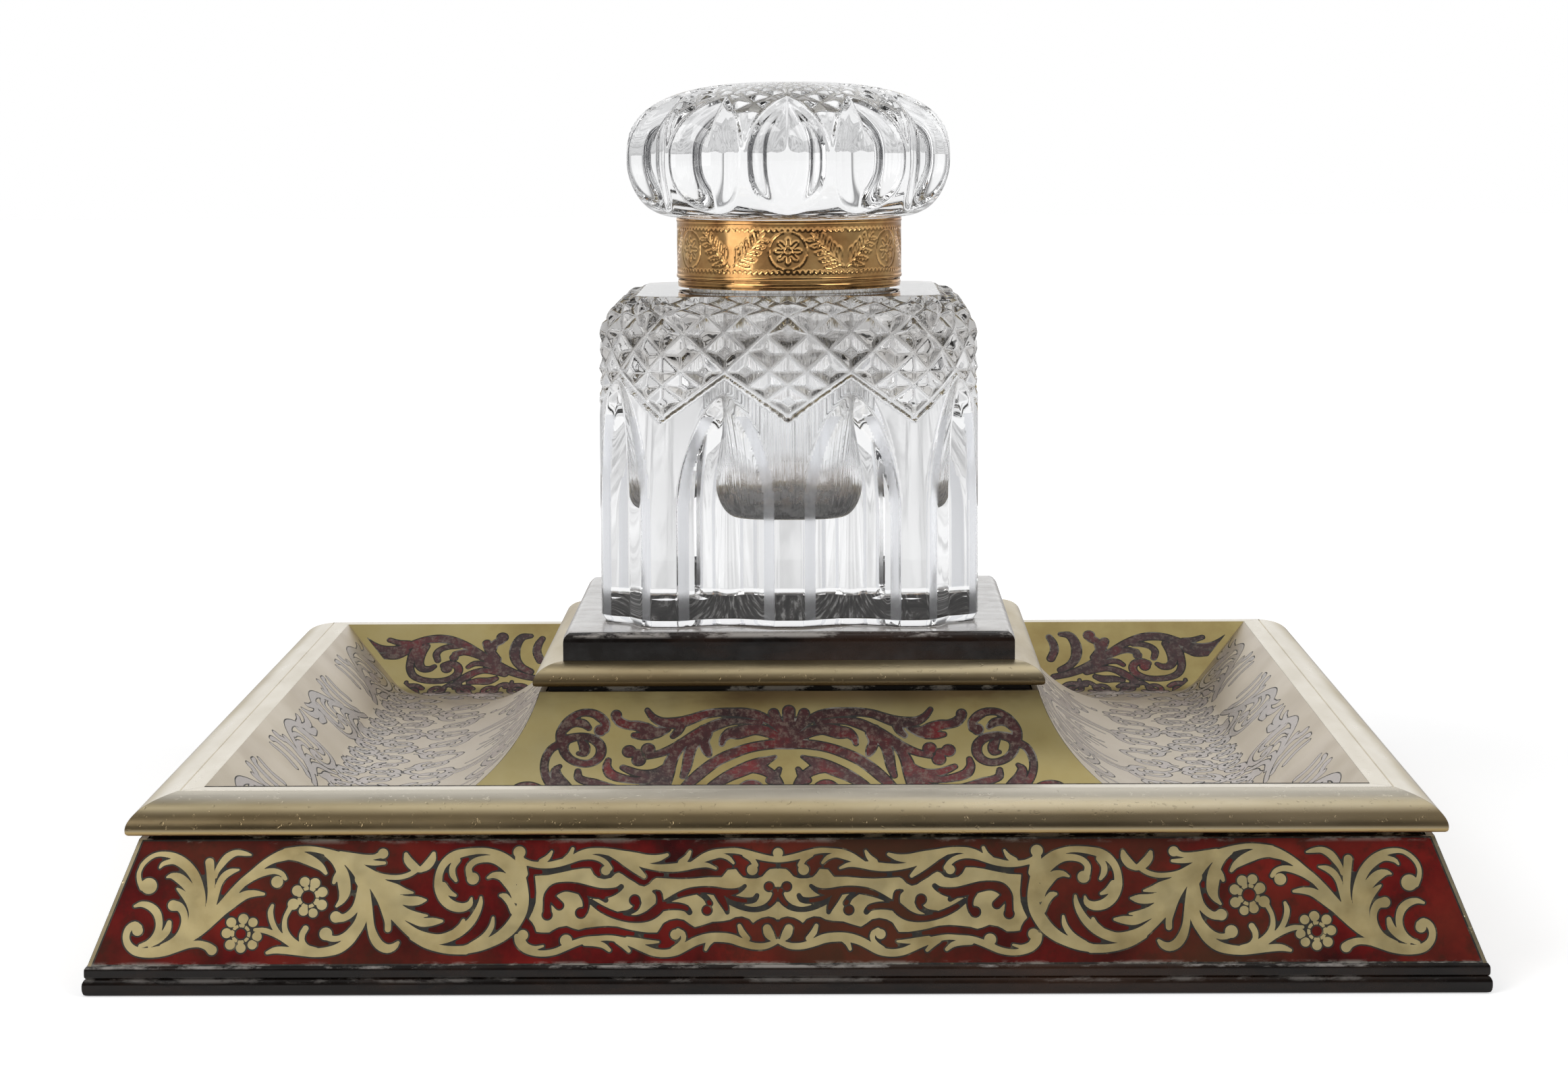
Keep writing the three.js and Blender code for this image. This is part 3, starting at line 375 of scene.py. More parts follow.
def camera_axes():
    forward = np.array([math.sin(CAMERA_TURN) * math.cos(CAMERA_TILT),
                        math.cos(CAMERA_TURN) * math.cos(CAMERA_TILT), -math.sin(CAMERA_TILT)])
    level = np.array([math.cos(CAMERA_TURN), -math.sin(CAMERA_TURN), 0.0])
    upright = np.cross(level, forward)
    right = level * math.cos(CAMERA_ROLL) + upright * math.sin(CAMERA_ROLL)
    up = upright * math.cos(CAMERA_ROLL) - level * math.sin(CAMERA_ROLL)
    return forward, right, up


def photo_rays(pixels):
    forward, right, up = camera_axes()
    pixels = np.asarray(pixels, float)
    across = (pixels[:, 0] - PHOTO_WIDTH / 2) / PHOTO_FOCAL
    rise = (PHOTO_HEIGHT / 2 - pixels[:, 1]) / PHOTO_FOCAL
    return forward + across[:, None] * right + rise[:, None] * up


def read_strokes(text):
    return [np.array([[float(v) for v in word.split(",")] for word in stroke.split()])
            for stroke in text.split("/")]


def smooth_line(points, step):
    # A curve through the points (Catmull-Rom), as points about one step apart; a long line is fine enough
    if len(points) < 3 or len(points) > LONGEST_DRAWN:
        return points
    ends = [2 * points[0] - points[1], *points, 2 * points[-1] - points[-2]]
    line = []
    for a, b, c, d in zip(ends, ends[1:], ends[2:], ends[3:]):
        count = max(1, int(math.ceil(np.linalg.norm((c - b)[:2]) / step)))
        for t in np.arange(count) / count:
            line.append(0.5 * (2 * b + (c - a) * t + (2 * a - 5 * b + 4 * c - d) * t * t
                               + (3 * b - a - 3 * c + d) * t ** 3))
    return np.array([*line, points[-1]])


class Field:
    # Distance to the nearest edge of the drawn shapes, on a square grid; less than nothing inside them
    def __init__(self, low, high, cell=FIELD_CELL):
        self.low, self.cell = np.array(low, float), cell
        count = np.ceil((np.array(high) - self.low) / cell).astype(int) + 1
        self.x = self.low[0] + cell * np.arange(count[0])
        self.y = self.low[1] + cell * np.arange(count[1])
        self.values = np.full(count, FAR)

    @classmethod
    def like(cls, other):
        return cls((other.x[0], other.y[0]), (other.x[-1] - TINY, other.y[-1] - TINY), other.cell)

    def window(self, points, reach):
        low = np.floor((points.min(0) - reach - self.low) / self.cell).astype(int)
        high = np.ceil((points.max(0) + reach - self.low) / self.cell).astype(int) + 1
        low = np.clip(low, 0, self.values.shape)
        high = np.clip(high, 0, self.values.shape)
        return slice(low[0], high[0]), slice(low[1], high[1])

    def stroke(self, points, reach=STROKE_REACH):
        line = smooth_line(points, STROKE_STEP)
        if len(line) == 1:
            line = np.array([line[0], line[0] + (1e-4, 0, 0)])
        for a, b in zip(line, line[1:]):
            wx, wy = self.window(np.array([a[:2], b[:2]]), max(a[2], b[2]) + reach)
            x, y = self.x[wx][:, None] - a[0], self.y[wy][None, :] - a[1]
            along = b - a
            share = (x * along[0] + y * along[1]) / max(along[0] ** 2 + along[1] ** 2, 1e-12)
            share = np.clip(share, 0, 1)
            away = np.hypot(x - share * along[0], y - share * along[1]) - (a[2] + share * along[2])
            self.values[wx, wy] = np.minimum(self.values[wx, wy], away)

    def outline(self, points):
        # A closed outline, filled
        closed = np.vstack([points, points[:1]])
        wx, wy = self.window(points, STROKE_REACH)
        x, y = self.x[wx][:, None], self.y[wy][None, :]
        away = np.full(np.broadcast(x, y).shape, FAR)
        inside = np.zeros(away.shape, bool)
        for a, b in zip(closed, closed[1:]):
            along = b - a
            share = ((x - a[0]) * along[0] + (y - a[1]) * along[1]) / max(along @ along, 1e-12)
            share = np.clip(share, 0, 1)
            away = np.minimum(away, np.hypot(x - a[0] - share * along[0], y - a[1] - share * along[1]))
            if a[1] != b[1]:
                crosses = (y >= min(a[1], b[1])) & (y < max(a[1], b[1]))
                inside ^= crosses & (x < a[0] + (y - a[1]) * along[0] / along[1])
        self.values[wx, wy] = np.minimum(self.values[wx, wy], np.where(inside, -away, away))

    def at(self, points):
        place = (np.asarray(points)[:, :2] - self.low) / self.cell
        place = np.clip(place, 0, np.array(self.values.shape) - 1.001)
        i, j = place.astype(int).T
        s, t = (place - place.astype(int)).T
        v = self.values
        return ((1 - s) * (1 - t) * v[i, j] + s * (1 - t) * v[i + 1, j]
                + (1 - s) * t * v[i, j + 1] + s * t * v[i + 1, j + 1])


def contours(field, level):
    # Closed lines on which the field has this value (marching squares)
    v = field.values - level
    v = np.where(np.abs(v) < TINY, TINY, v)
    v[0, :] = v[-1, :] = v[:, 0] = v[:, -1] = FAR
    inside = v < 0
    nx, ny = v.shape
    case = (inside[:-1, :-1] * 1 + inside[1:, :-1] * 2 + inside[1:, 1:] * 4 + inside[:-1, 1:] * 8)
    bottom, right, top, left = 0, 1, 2, 3
    steps = {1: [(left, bottom)], 2: [(bottom, right)], 3: [(left, right)], 4: [(right, top)],
             5: [(left, bottom), (right, top)], 6: [(bottom, top)], 7: [(left, top)], 8: [(top, left)],
             9: [(top, bottom)], 10: [(top, left), (bottom, right)], 11: [(top, right)], 12: [(right, left)],
             13: [(right, bottom)], 14: [(bottom, left)]}
    follow = {}
    for key, pairs in steps.items():
        i, j = np.nonzero(case == key)
        edge = {bottom: i * ny + j, right: nx * ny + (i + 1) * ny + j, top: i * ny + j + 1,
                left: nx * ny + i * ny + j}
        for a, b in pairs:
            follow.update(zip(edge[a].tolist(), edge[b].tolist()))
    lines = []
    while follow:
        start, following = follow.popitem()
        line = [start]
        while following != start:
            line.append(following)
            following = follow.pop(following)
        lines.append(crossings(field, v, np.array(line)))
    return lines


def dark_gaps(shape):
    # The mastic: a thin line round the inlay, and all of the gaps that are too narrow for a piece of shell
    far_edge = Field.like(shape)
    for line in contours(shape, NARROW_GAP):
        line = np.vstack([line, line[:1]])[::2]
        far_edge.stroke(at_height(line, 0), GAP_REACH)
    closed = np.where(shape.values < NARROW_GAP, NARROW_GAP - far_edge.values, far_edge.values)
    mastic_part = Field.like(shape)
    mastic_part.values = np.minimum(shape.values - MASTIC_WIDTH, closed)
    return mastic_part


def crossings(field, v, edges):
    nx, ny = v.shape
    upright = edges >= nx * ny
    i, j = np.divmod(np.where(upright, edges - nx * ny, edges), ny)
    i2, j2 = np.where(upright, i, i + 1), np.where(upright, j + 1, j)
    share = v[i, j] / (v[i, j] - v[i2, j2])
    return np.stack([field.x[i] + share * (field.x[i2] - field.x[i]),
                     field.y[j] + share * (field.y[j2] - field.y[j])], 1)


def thinned(line):
    # Leaves out points that their neighbours already stand for
    for _ in range(THIN_ROUNDS):
        if len(line) < THIN_COUNT:
            break
        before, after = np.roll(line, 1, 0), np.roll(line, -1, 0)
        chord = after - before
        length = np.maximum(np.hypot(*chord.T), 1e-9)
        off = np.abs(chord[:, 0] * (line - before)[:, 1] - chord[:, 1] * (line - before)[:, 0]) / length
        spare = (off < THIN_SLACK) & (length < THIN_LONGEST) & (np.arange(len(line)) % 2 == 1)
        if not spare.any():
            break
        line = line[~spare]
    return line


def veneer(name, border, lines, kind_of, place, normal_of, materials, guides=()):
    # A sheet cut into differently coloured pieces that meet along the lines, with a rim that goes down
    points = [tuple(p) for p in border]
    edges = [(i, (i + 1) % len(points)) for i in range(len(points))]
    for line in lines:
        first = len(points)
        points.extend(map(tuple, line))
        edges.extend((first + i, first + (i + 1) % len(line)) for i in range(len(line)))
    for a, b in guides:
        edges.append((len(points), len(points) + 1))
        points.extend((tuple(a), tuple(b)))
    found, _, faces, _, _, _ = delaunay_2d_cdt([Vector(p) for p in points], edges, [], 1, MESH_WELD, False)
    flat = np.array([tuple(p) for p in found])
    faces = np.array([tuple(f) for f in faces])
    corners = flat[faces]
    middles = corners.mean(1)
    turn = np.cross(corners[:, 1] - corners[:, 0], corners[:, 2] - corners[:, 0])
    keep = np.abs(turn) > SMALLEST_FACE
    faces, middles, turn = faces[keep], middles[keep], turn[keep]
    faces[turn < 0] = faces[turn < 0][:, ::-1]
    kinds = kind_of(middles)
    faces, kinds = faces[kinds >= 0], kinds[kinds >= 0]
    solid = place(flat)
    normals = normal_of(flat)
    top, foot = solid + VENEER_LIFT * normals, solid - VENEER_DEPTH * normals
    sides = np.concatenate([faces[:, [0, 1]], faces[:, [1, 2]], faces[:, [2, 0]]])
    low, high = sides.min(1), sides.max(1)
    _, first, times = np.unique(low * len(flat) + high, return_index=True, return_counts=True)
    rim = sides[first[times == 1]]
    count = len(flat)
    walls = np.stack([rim[:, 0], rim[:, 0] + count, rim[:, 1] + count, rim[:, 1]], 1)
    mesh = bpy.data.meshes.new(name)
    mesh.from_pydata(np.vstack([top, foot]).tolist(), [],
                     [*faces.tolist(), *(faces[:, ::-1] + count).tolist(), *walls.tolist()])
    kinds = np.concatenate([kinds, np.zeros(len(faces)), np.full(len(walls), len(materials) - 1)])
    normals = np.vstack([normals, -normals])
    for material in materials:
        mesh.materials.append(material)
    mesh.polygons.foreach_set("material_index", kinds.astype(np.int32))
    smooth = np.zeros(len(mesh.polygons), bool)
    smooth[:len(faces)] = True
    mesh.polygons.foreach_set("use_smooth", smooth)
    mesh.normals_split_custom_set_from_vertices(normals.tolist())
    mesh.transform(Matrix.Scale(MM, 4))
    return mesh


def symmetric_field(half_width, high, margin=1):
    count = math.ceil((half_width + margin) / FIELD_CELL)
    return Field((-count * FIELD_CELL, -margin), (count * FIELD_CELL, high + margin))


def mirrored(values):
    return np.minimum(values, values[::-1])


def flower_field(blank, flowers, to_flat):
    # Round petals with a slit between neighbours, round a dark middle
    petals, gaps = Field.like(blank), Field.like(blank)
    for flower in flowers:
        middle, ring, *leaves = to_flat(flower)
        gaps.stroke(middle[None])
        for a, b in zip(leaves, np.roll(leaves, -1, 0)):
            between = (a[:2] + b[:2]) / 2 - middle[:2]
            outer = middle[:2] + between * PETAL_SLIT_REACH
            gaps.stroke(np.array([[*middle[:2], PETAL_SLIT], [*outer, PETAL_SLIT]]))
        for spot in (ring, *leaves):
            petals.stroke(spot[None])
    return np.maximum(petals.values, -gaps.values)


def panel_axes(node):
    # The outer face of the front panel: the middle of its foot, the way up its slope, and its outline
    points = np.array([node.matrix_world @ v.co for v in node.data.vertices]) / MM
    low, high = points[:, 2].min(), points[:, 2].max()
    feet = points[points[:, 2] < low + 0.01]
    tops = points[points[:, 2] > high - 0.01]
    foot_y, top_y = feet[:, 1].min(), tops[:, 1].min()
    foot, top = np.array([0, foot_y, low]), np.array([0, top_y, high])
    foot_half = feet[feet[:, 1] < foot_y + 0.01][:, 0].max()
    top_half = tops[tops[:, 1] < top_y + 0.01][:, 0].max()
    slope = np.linalg.norm(top - foot)
    outline = np.array([(-foot_half, 0), (foot_half, 0), (top_half, slope), (-top_half, slope)])
    return foot, (top - foot) / slope, outline


def inset(outline, gap):
    # The outline of the panel moved inwards
    (_, _), (foot_half, _), (top_half, slope), _ = outline
    lean = math.hypot(foot_half - top_half, slope) / slope
    step = (foot_half - top_half) / slope
    low_half = foot_half - step * gap - gap * lean
    high_half = top_half + step * gap - gap * lean
    return np.array([(-low_half, gap), (low_half, gap), (high_half, slope - gap), (-high_half, slope - gap)])


def edge_distance(points, outline):
    # How far inside a straight-sided outline, drawn anticlockwise, each point lies
    reach = np.full(points.shape[:-1], FAR * 9)
    for a, b in zip(outline, np.roll(outline, -1, 0)):
        along = (b - a) / np.linalg.norm(b - a)
        away = along[0] * (points[..., 1] - a[1]) - along[1] * (points[..., 0] - a[0])
        reach = np.minimum(reach, away)
    return reach


# Side panels: the pattern stands a little to the left of the panel's middle, as in the photograph
PANEL_AXIS, PANEL_EDGE_LINE, STRING_LAP = -1.38, 0.3, 0.75


def marquetry_sides(kind, slot, *sheet):
    # One sheet of veneer, laid on all four sides
    mesh = veneer(f"{kind}_marquetry", *sheet)
    for turn, side in enumerate(SIDES):
        add_piece(f"{kind}_marquetry_{side}", mesh, "base", slot, turn=turn)


def make_side_panels():
    foot, rise, outline = panel_axes(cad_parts["side_panel_front"])
    sideways = np.array([1.0, 0, 0])
    face = np.cross(sideways, rise)

    def to_flat(pixels):
        rays = photo_rays(pixels[:, :2])
        reach = ((foot - CAMERA_PLACE) @ face) / (rays @ face)
        spot = CAMERA_PLACE + rays * reach[:, None]
        flat = np.stack([spot[:, 0] - PANEL_AXIS, (spot - foot) @ rise], 1)
        if pixels.shape[1] == 3:
            flat = np.column_stack([flat, pixels[:, 2] * reach / PHOTO_FOCAL])
        return flat

    blank = symmetric_field(outline[1, 0], outline[2, 1])
    scrolls, shells, cartouche = Field.like(blank), Field.like(blank), Field.like(blank)
    for part, text in ((scrolls, PANEL_SCROLLS), (shells, PANEL_SHELLS)):
        for stroke in read_strokes(text):
            part.stroke(to_flat(stroke))
    cartouche.outline(to_flat(read_strokes(PANEL_CARTOUCHE)[0]))
    flowers = flower_field(blank, read_strokes(PANEL_FLOWERS), to_flat)
    brass_part = np.minimum(mirrored(scrolls.values), mirrored(flowers))
    plate = np.maximum(mirrored(cartouche.values), -mirrored(shells.values))
    grid = np.stack(np.meshgrid(blank.x, blank.y, indexing="ij"), -1)
    shift = np.array([PANEL_AXIS, 0])
    border_gap = edge_distance(grid + shift, outline)
    blank.values = np.maximum(np.minimum(brass_part, plate), PANEL_EDGE_LINE + MASTIC_WIDTH - border_gap)
    border = outline + [(-STRING_LAP, 0), (STRING_LAP, 0), (STRING_LAP, 0), (-STRING_LAP, 0)]
    frame_line = inset(border, PANEL_EDGE_LINE)
    mastic_part = dark_gaps(blank)
    lines = [thinned(line) + shift for field in (blank, mastic_part) for line in contours(field, 0)]

    def kind_of(points):
        kinds = np.where(mastic_part.at(points - shift) < 0, 2, 0)
        kinds = np.where(blank.at(points - shift) < 0, 1, kinds)
        return np.where(edge_distance(points, frame_line) < 0, 2, kinds)

    def place(flat):
        return foot + flat[:, :1] * sideways + flat[:, 1:2] * rise

    marquetry_sides("side", "shell_marquetry", border, [*lines, frame_line], kind_of, place,
                    lambda flat: np.tile(face, (len(flat), 1)), [shell, inlay_brass, mastic])


# Tray sheets: each runs from the arris inside the rim, down the wall, over the floor and up the pedestal
TRAY_ARRIS, TRAY_TOP = 107.2, 34.8
TRAY_WALL_FOOT, TRAY_WALL_LOW = 95.4, 23.0
TRAY_FLOOR_OUT, TRAY_FLOOR_IN, TRAY_FLOOR = 89.1, 80.1, 20.4
NECK_HALF, NECK_HIGH = 49.5, 43.1
WALL_STEPS, FOOT_STEPS, FLOOR_STEPS, NECK_STEPS = 10, 8, 6, 34
WALL_SECOND_COPY = -52.0
MITRE_MARGIN = 2.2
HIT_SLACK = 0.02
GUIDE_GAP = 0.01
# Rows of curls on the floor: the place of each across the sheet, and the reach of its curls
FLOOR_ROWS = ((20.6, 2.5), (27.4, 3.4), (37.6, 5.0))
CURL_SPACING, CURL_TURNS, CURL_POINTS, CURL_SHRINK = 2.5, 1.3, 22, 0.78
CURL_TILT, CURL_SWELL, SMALL_CURL = 0.15 * PI, 0.1, 0.82
CURL_EYE, CURL_EYE_IN, CURL_EYE_UP = 0.2, 1.2, 0.8
VINE_HALF, VINE_SWELL, VINE_REACH, VINE_POINTS = 0.3, 0.06, 1.05, 6
# Sprigs of a curl: the lean of each and its size
SPRIGS = ((0.5, 1.0), (1.15, 0.8))
SPRIG_REACH, SPRIG_ROOT, SPRIG_TURN, SPRIG_THICK, SPRIG_TIP = 1.5, 0.9, 0.5, 0.18, 0.25
SPRIG_BOW_IN, SPRIG_BOW_DOWN = 0.7, 0.5


def arc_points(start, end, heading, count):
    # Points from start to end on the circle that leaves start along the heading
    start, end, heading = (np.array(v, float) for v in (start, end, heading))
    heading /= np.linalg.norm(heading)
    side = np.array([-heading[1], heading[0]])
    chord = end - start
    radius = (chord @ chord) / (2 * (chord @ side))
    centre = start + side * radius
    first, last = start - centre, end - centre
    sweep = math.atan2(first[0] * last[1] - first[1] * last[0], first @ last)
    angle = np.linspace(0, sweep, count + 1)[:, None]
    return centre + first * np.cos(angle) + np.array([-first[1], first[0]]) * np.sin(angle)


def tray_section():
    # Half width and height of the sheet's upper face, from the arris inwards, with the way it faces
    wall_foot, floor_out = (TRAY_WALL_FOOT, TRAY_WALL_LOW), (TRAY_FLOOR_OUT, TRAY_FLOOR)
    floor_in = (TRAY_FLOOR_IN, TRAY_FLOOR)
    wall = np.linspace((TRAY_ARRIS, TRAY_TOP), wall_foot, WALL_STEPS)
    foot = arc_points(wall_foot, floor_out, (-1, -1), FOOT_STEPS)[1:]
    floor = np.linspace(floor_out, floor_in, FLOOR_STEPS)[1:]
    neck = arc_points(floor_in, (NECK_HALF, NECK_HIGH), (-1, 0), NECK_STEPS)[1:]
    section = np.vstack([wall, foot, floor, neck])
    step = np.gradient(section, axis=0)
    step[:WALL_STEPS] = section[1] - section[0]
    step /= np.linalg.norm(step, axis=1)[:, None]
    return section, np.stack([step[:, 1], -step[:, 0]], 1)


def tray_hits(pixels, section, along, front):
    # Where the photo's strokes land on the front or the back sheet, as places on the flattened sheet
    rays = photo_rays(pixels[:, :2])
    side = -1 if front else 1
    y, z = side * section[:, 0], section[:, 1]
    best = np.full(len(pixels), np.inf)
    run = np.zeros(len(pixels))
    for i in range(len(section) - 1):
        dy, dz = y[i + 1] - y[i], z[i + 1] - z[i]
        turn = rays[:, 1] * dz - rays[:, 2] * dy
        off_y, off_z = y[i] - CAMERA_PLACE[1], z[i] - CAMERA_PLACE[2]
        reach = (off_y * dz - off_z * dy) / turn
        share = (off_y * rays[:, 2] - off_z * rays[:, 1]) / turn
        hit = (share >= -HIT_SLACK) & (share <= 1 + HIT_SLACK) & (reach > 0) & (reach < best)
        hit &= turn * side < 0
        best = np.where(hit, reach, best)
        run = np.where(hit, along[i] + share * (along[i + 1] - along[i]), run)
    across = CAMERA_PLACE[0] + rays[:, 0] * best
    flat = np.stack([across if front else -across, run, pixels[:, 2] * best / PHOTO_FOCAL], 1)
    return flat[np.isfinite(best)]


def running_scroll(scrolls, row, full_reach):
    # A wave of curls and leaves along the trough, from the middle outwards, and the vine that they grow from
    pitch = CURL_SPACING * full_reach
    places = np.arange(0, TRAY_ARRIS, pitch / VINE_POINTS)
    wave = np.cos(PI * places / pitch)
    vine_half = VINE_HALF + VINE_SWELL * full_reach * np.abs(wave)
    scrolls.stroke(np.column_stack([-places, row + full_reach * VINE_REACH * wave, vine_half]))
    turns = np.linspace(0, CURL_TURNS * 2 * PI, CURL_POINTS)
    for number in range(int(TRAY_ARRIS / pitch)):
        way = 1 if number % 2 else -1
        curl_reach = full_reach * (1.0 if number % 3 else SMALL_CURL)
        centre = np.array([-(number + 0.5) * pitch, row])
        reach = curl_reach * (1 - CURL_SHRINK * turns / turns[-1])
        angle = way * (turns + CURL_TILT)
        scrolls.stroke(circle(angle, reach, VINE_HALF + CURL_SWELL * reach) + (*centre, 0))
        eye = centre + (CURL_EYE_IN, -CURL_EYE_UP * way)
        scrolls.stroke(np.array([[*eye, CURL_EYE * curl_reach]]))
        for lean, size in SPRIGS:
            far, stalk = curl_reach * SPRIG_REACH, lean + SPRIG_TURN
            tip = centre + (-far * math.cos(lean), way * far * math.sin(lean))
            root = centre + (-curl_reach * SPRIG_ROOT * math.cos(stalk), way * curl_reach * math.sin(stalk))
            bow = (tip + root) / 2 + (-SPRIG_BOW_IN, -SPRIG_BOW_DOWN * way)
            thick = SPRIG_THICK * curl_reach * size
            scrolls.stroke(np.array([[*root, VINE_HALF], [*bow, thick], [*tip, SPRIG_TIP]]))


def make_tray_sheets():
    section, facing = tray_section()
    along = np.concatenate([[0], np.cumsum(np.linalg.norm(np.diff(section, axis=0), axis=1))])
    blank = symmetric_field(TRAY_ARRIS, along[-1])
    scrolls = Field.like(blank)
    axis = tray_hits(np.array([[PHOTO_AXIS, PHOTO_AXIS_ROW, 1.0]]), section, along, True)[0, 0]
    for stroke in read_strokes(PEDESTAL_SCROLLS):
        flat = tray_hits(stroke, section, along, True)
        if len(flat):
            scrolls.stroke(flat - (axis, 0, 0))
    for stroke in read_strokes(WALL_SCROLLS):
        flat = tray_hits(stroke, section, along, False)
        if len(flat):
            flat[:, 0] = -np.abs(flat[:, 0])
            scrolls.stroke(flat)
            scrolls.stroke(flat * (-1, 1, 1) + (2 * WALL_SECOND_COPY, 0, 0))
    for row, full_reach in FLOOR_ROWS:
        running_scroll(scrolls, row, full_reach)

    def half_at(run):
        return np.interp(run, along, section[:, 0])

    grid_across, grid_run = np.meshgrid(blank.x, blank.y, indexing="ij")
    reach = half_at(grid_run) - np.abs(grid_across)
    blank.values = np.maximum(mirrored(scrolls.values), MITRE_MARGIN - reach)
    lines = [thinned(line) for level in (0, MASTIC_WIDTH) for line in contours(blank, level)]
    left = np.column_stack([-section[:, 0], along])
    right = np.column_stack([section[:, 0], along])
    border = np.vstack([left, right[::-1]])[::-1]
    guides = list(zip(left[1:-1] + (GUIDE_GAP, 0), right[1:-1] - (GUIDE_GAP, 0)))

    def kind_of(points):
        value = blank.at(points)
        outside = np.abs(points[:, 0]) > half_at(points[:, 1])
        return np.where(outside, -1, np.where(value < 0, 1, np.where(value < MASTIC_WIDTH, 2, 0)))

    def place(flat):
        run = flat[:, 1]
        return np.column_stack([flat[:, 0], -half_at(run), np.interp(run, along, section[:, 1])])

    def normal_of(flat):
        out, up = (np.interp(flat[:, 1], along, facing[:, part]) for part in (0, 1))
        size = np.hypot(out, up)
        return np.column_stack([0 * out, -out / size, up / size])

    marquetry_sides("tray", "brass_marquetry", border, lines, kind_of, place, normal_of,
                    [tray_brass, tray_shell, mastic], guides)


# Cut glass: fine closed meshes, lowered along each cut, inside the shapes of the CAD bottle and lid
BOTTLE_HALF, BOTTLE_CORNER = 38.5, 14.0
BOTTLE_FOOT, BOTTLE_SIDE_TOP, BOTTLE_SHOULDER_TOP, NECK_TOP = 54.4, 111.4, 120.5, 126.5
SHOULDER_SETBACK, SHOULDER_ROWS, SHOULDER_SHARES = 8.5, 34, (0.35, 0.7)
NECK_RADIUS, BORE_RADIUS, NECK_EDGE = 21.0, 17.6, 0.5
WELL_FLOOR, WELL_ROUND, WELL_MIDDLE = 73.9, 9.0, 4.0
BORE_ROWS, WELL_ROWS, BORE_EDGE = 16, 14, 2.0
INK_TOP = 86.0
GROUND_HALF, GROUND_LONG_HALF = 27.0, 36.5
WELL_RIB, WELL_RIB_COUNTS = 0.05, (47, 83, 131)
GLASS_STEP = 0.36
FOOT_BEVEL, FOOT_BEVEL_IN, FOOT_SHARES = 1.2, 0.7, (0.25, 0.5, 0.8)
FOOT_ROWS = 1 + len(FOOT_SHARES)
FOOT_SLACK, BORE_SLACK, STUB_SLACK = 0.01, 0.1, 0.3
# Which of the bottle's materials a face has
CLEAR, GROUND, INKED, BANDED, BEVELLED = range(5)
FACE_CELL = 25.3
FLUTE_HALF, FLUTE_SPRING, FLUTE_APEX, CORNER_APEX = 9.8, 76.9, 101.5, 105.4
FLUTE_BEVEL, FLUTE_BEVEL_SLOPE, FLUTE_RADIUS = 2.3, 0.45, 13.0
BEVEL_START = 0.1
ARCH_POWER = 0.7
BAND_LOW, BAND_CROSSING, BAND_HIGH, BAND_MARGIN, BAND_TOP_MARGIN = 96.8, 105.8, 117.7, 0.9, 0.05
# How far the lattice's lines have run sideways, in cells, at the band's four heights
BAND_RUN = (-0.5, 0, 0.5, 0.8)
LARGE_CUT_WIDTH, LARGE_CUT_DEPTH = 3.4, 1.5
SMALL_CUT_WIDTH, SMALL_CUT_DEPTH = 4.4, 1.25
SMALL_CUT_SHARES = (0.35, 0.65)
DIAMOND_SIDE_WIDTH = 16.2
LID_RADIUS, LID_FOOT_RADIUS, LID_STUB_RADIUS = 34.4, 23.3, 21.9
LID_FOOT, LID_WIDEST, LID_TOP, LID_STUB_FOOT = 135.55, 147.7, 163.42, 129.0
LID_STUB_BEVEL, LID_STUB_INNER, LID_MIDDLE = 0.4, 18.9, 4.0
LID_DOME_POWER, LID_LOW_ROWS, LID_HIGH_ROWS = 2.6, 42, 110
LID_FLUTES, LID_FLUTE_POINTS = 12, 44
LID_FLUTE_HALF, LID_FLUTE_LOW, LID_FLUTE_SPRING, LID_FLUTE_APEX = 8.3, 136.9, 149.0, 160.6
LID_FLUTE_BEVEL, LID_FLUTE_SLOPE, LID_FLUTE_RADIUS = 1.5, 0.4, 11.0
HOBNAIL_DEPTH, HOBNAIL_LOW, HOBNAIL_RISE, HOBNAIL_MARGIN = 0.55, 150.0, 3.0, 0.8
HOBNAIL_HALF, HOBNAIL_FULL_SIZE, HOBNAIL_LEAST = 0.42, 8.0, 0.1


def groove(away, width, depth):
    return depth * np.clip(1 - np.abs(away) / (width / 2), 0, 1)


def hollow_cut(edge, half_width, bevel, slope, radius):
    # A wheel-cut hollow: a narrow flat bevel inside its edge, then a round channel
    inner = np.clip(edge - bevel, 0, half_width - bevel)
    return slope * np.clip(edge, 0, bevel) + inner * (2 * (half_width - bevel) - inner) / (2 * radius)


def arch_share(height, spring, apex):
    up = np.clip((height - spring) / (apex - spring), 0, 1)
    return (1 - up * up) ** ARCH_POWER


def arch_edge(across, half_width, run):
    # Distance inwards from the edge of an arch whose half width changes along the run
    lean = np.gradient(half_width, run)
    return (half_width[:, None] - np.abs(across)) / np.sqrt(1 + lean[:, None] ** 2)


def grid_mesh(name, rows, low_pole, high_pole, *materials):
    # A closed skin from rings of equally many points, with a point on the axis at each end
    count, size = len(rows), len(rows[0])
    low, high = count * size, count * size + 1
    first, following = range(size), (*range(1, size), 0)
    caps = [(low, b, a) for a, b in zip(first, following)]
    caps += [(high, low - size + a, low - size + b) for a, b in zip(first, following)]
    points = np.vstack([*rows, (0, 0, low_pole), (0, 0, high_pole)])
    return solid_mesh(name, points, [*ring_quads(count, size), *caps], *materials)


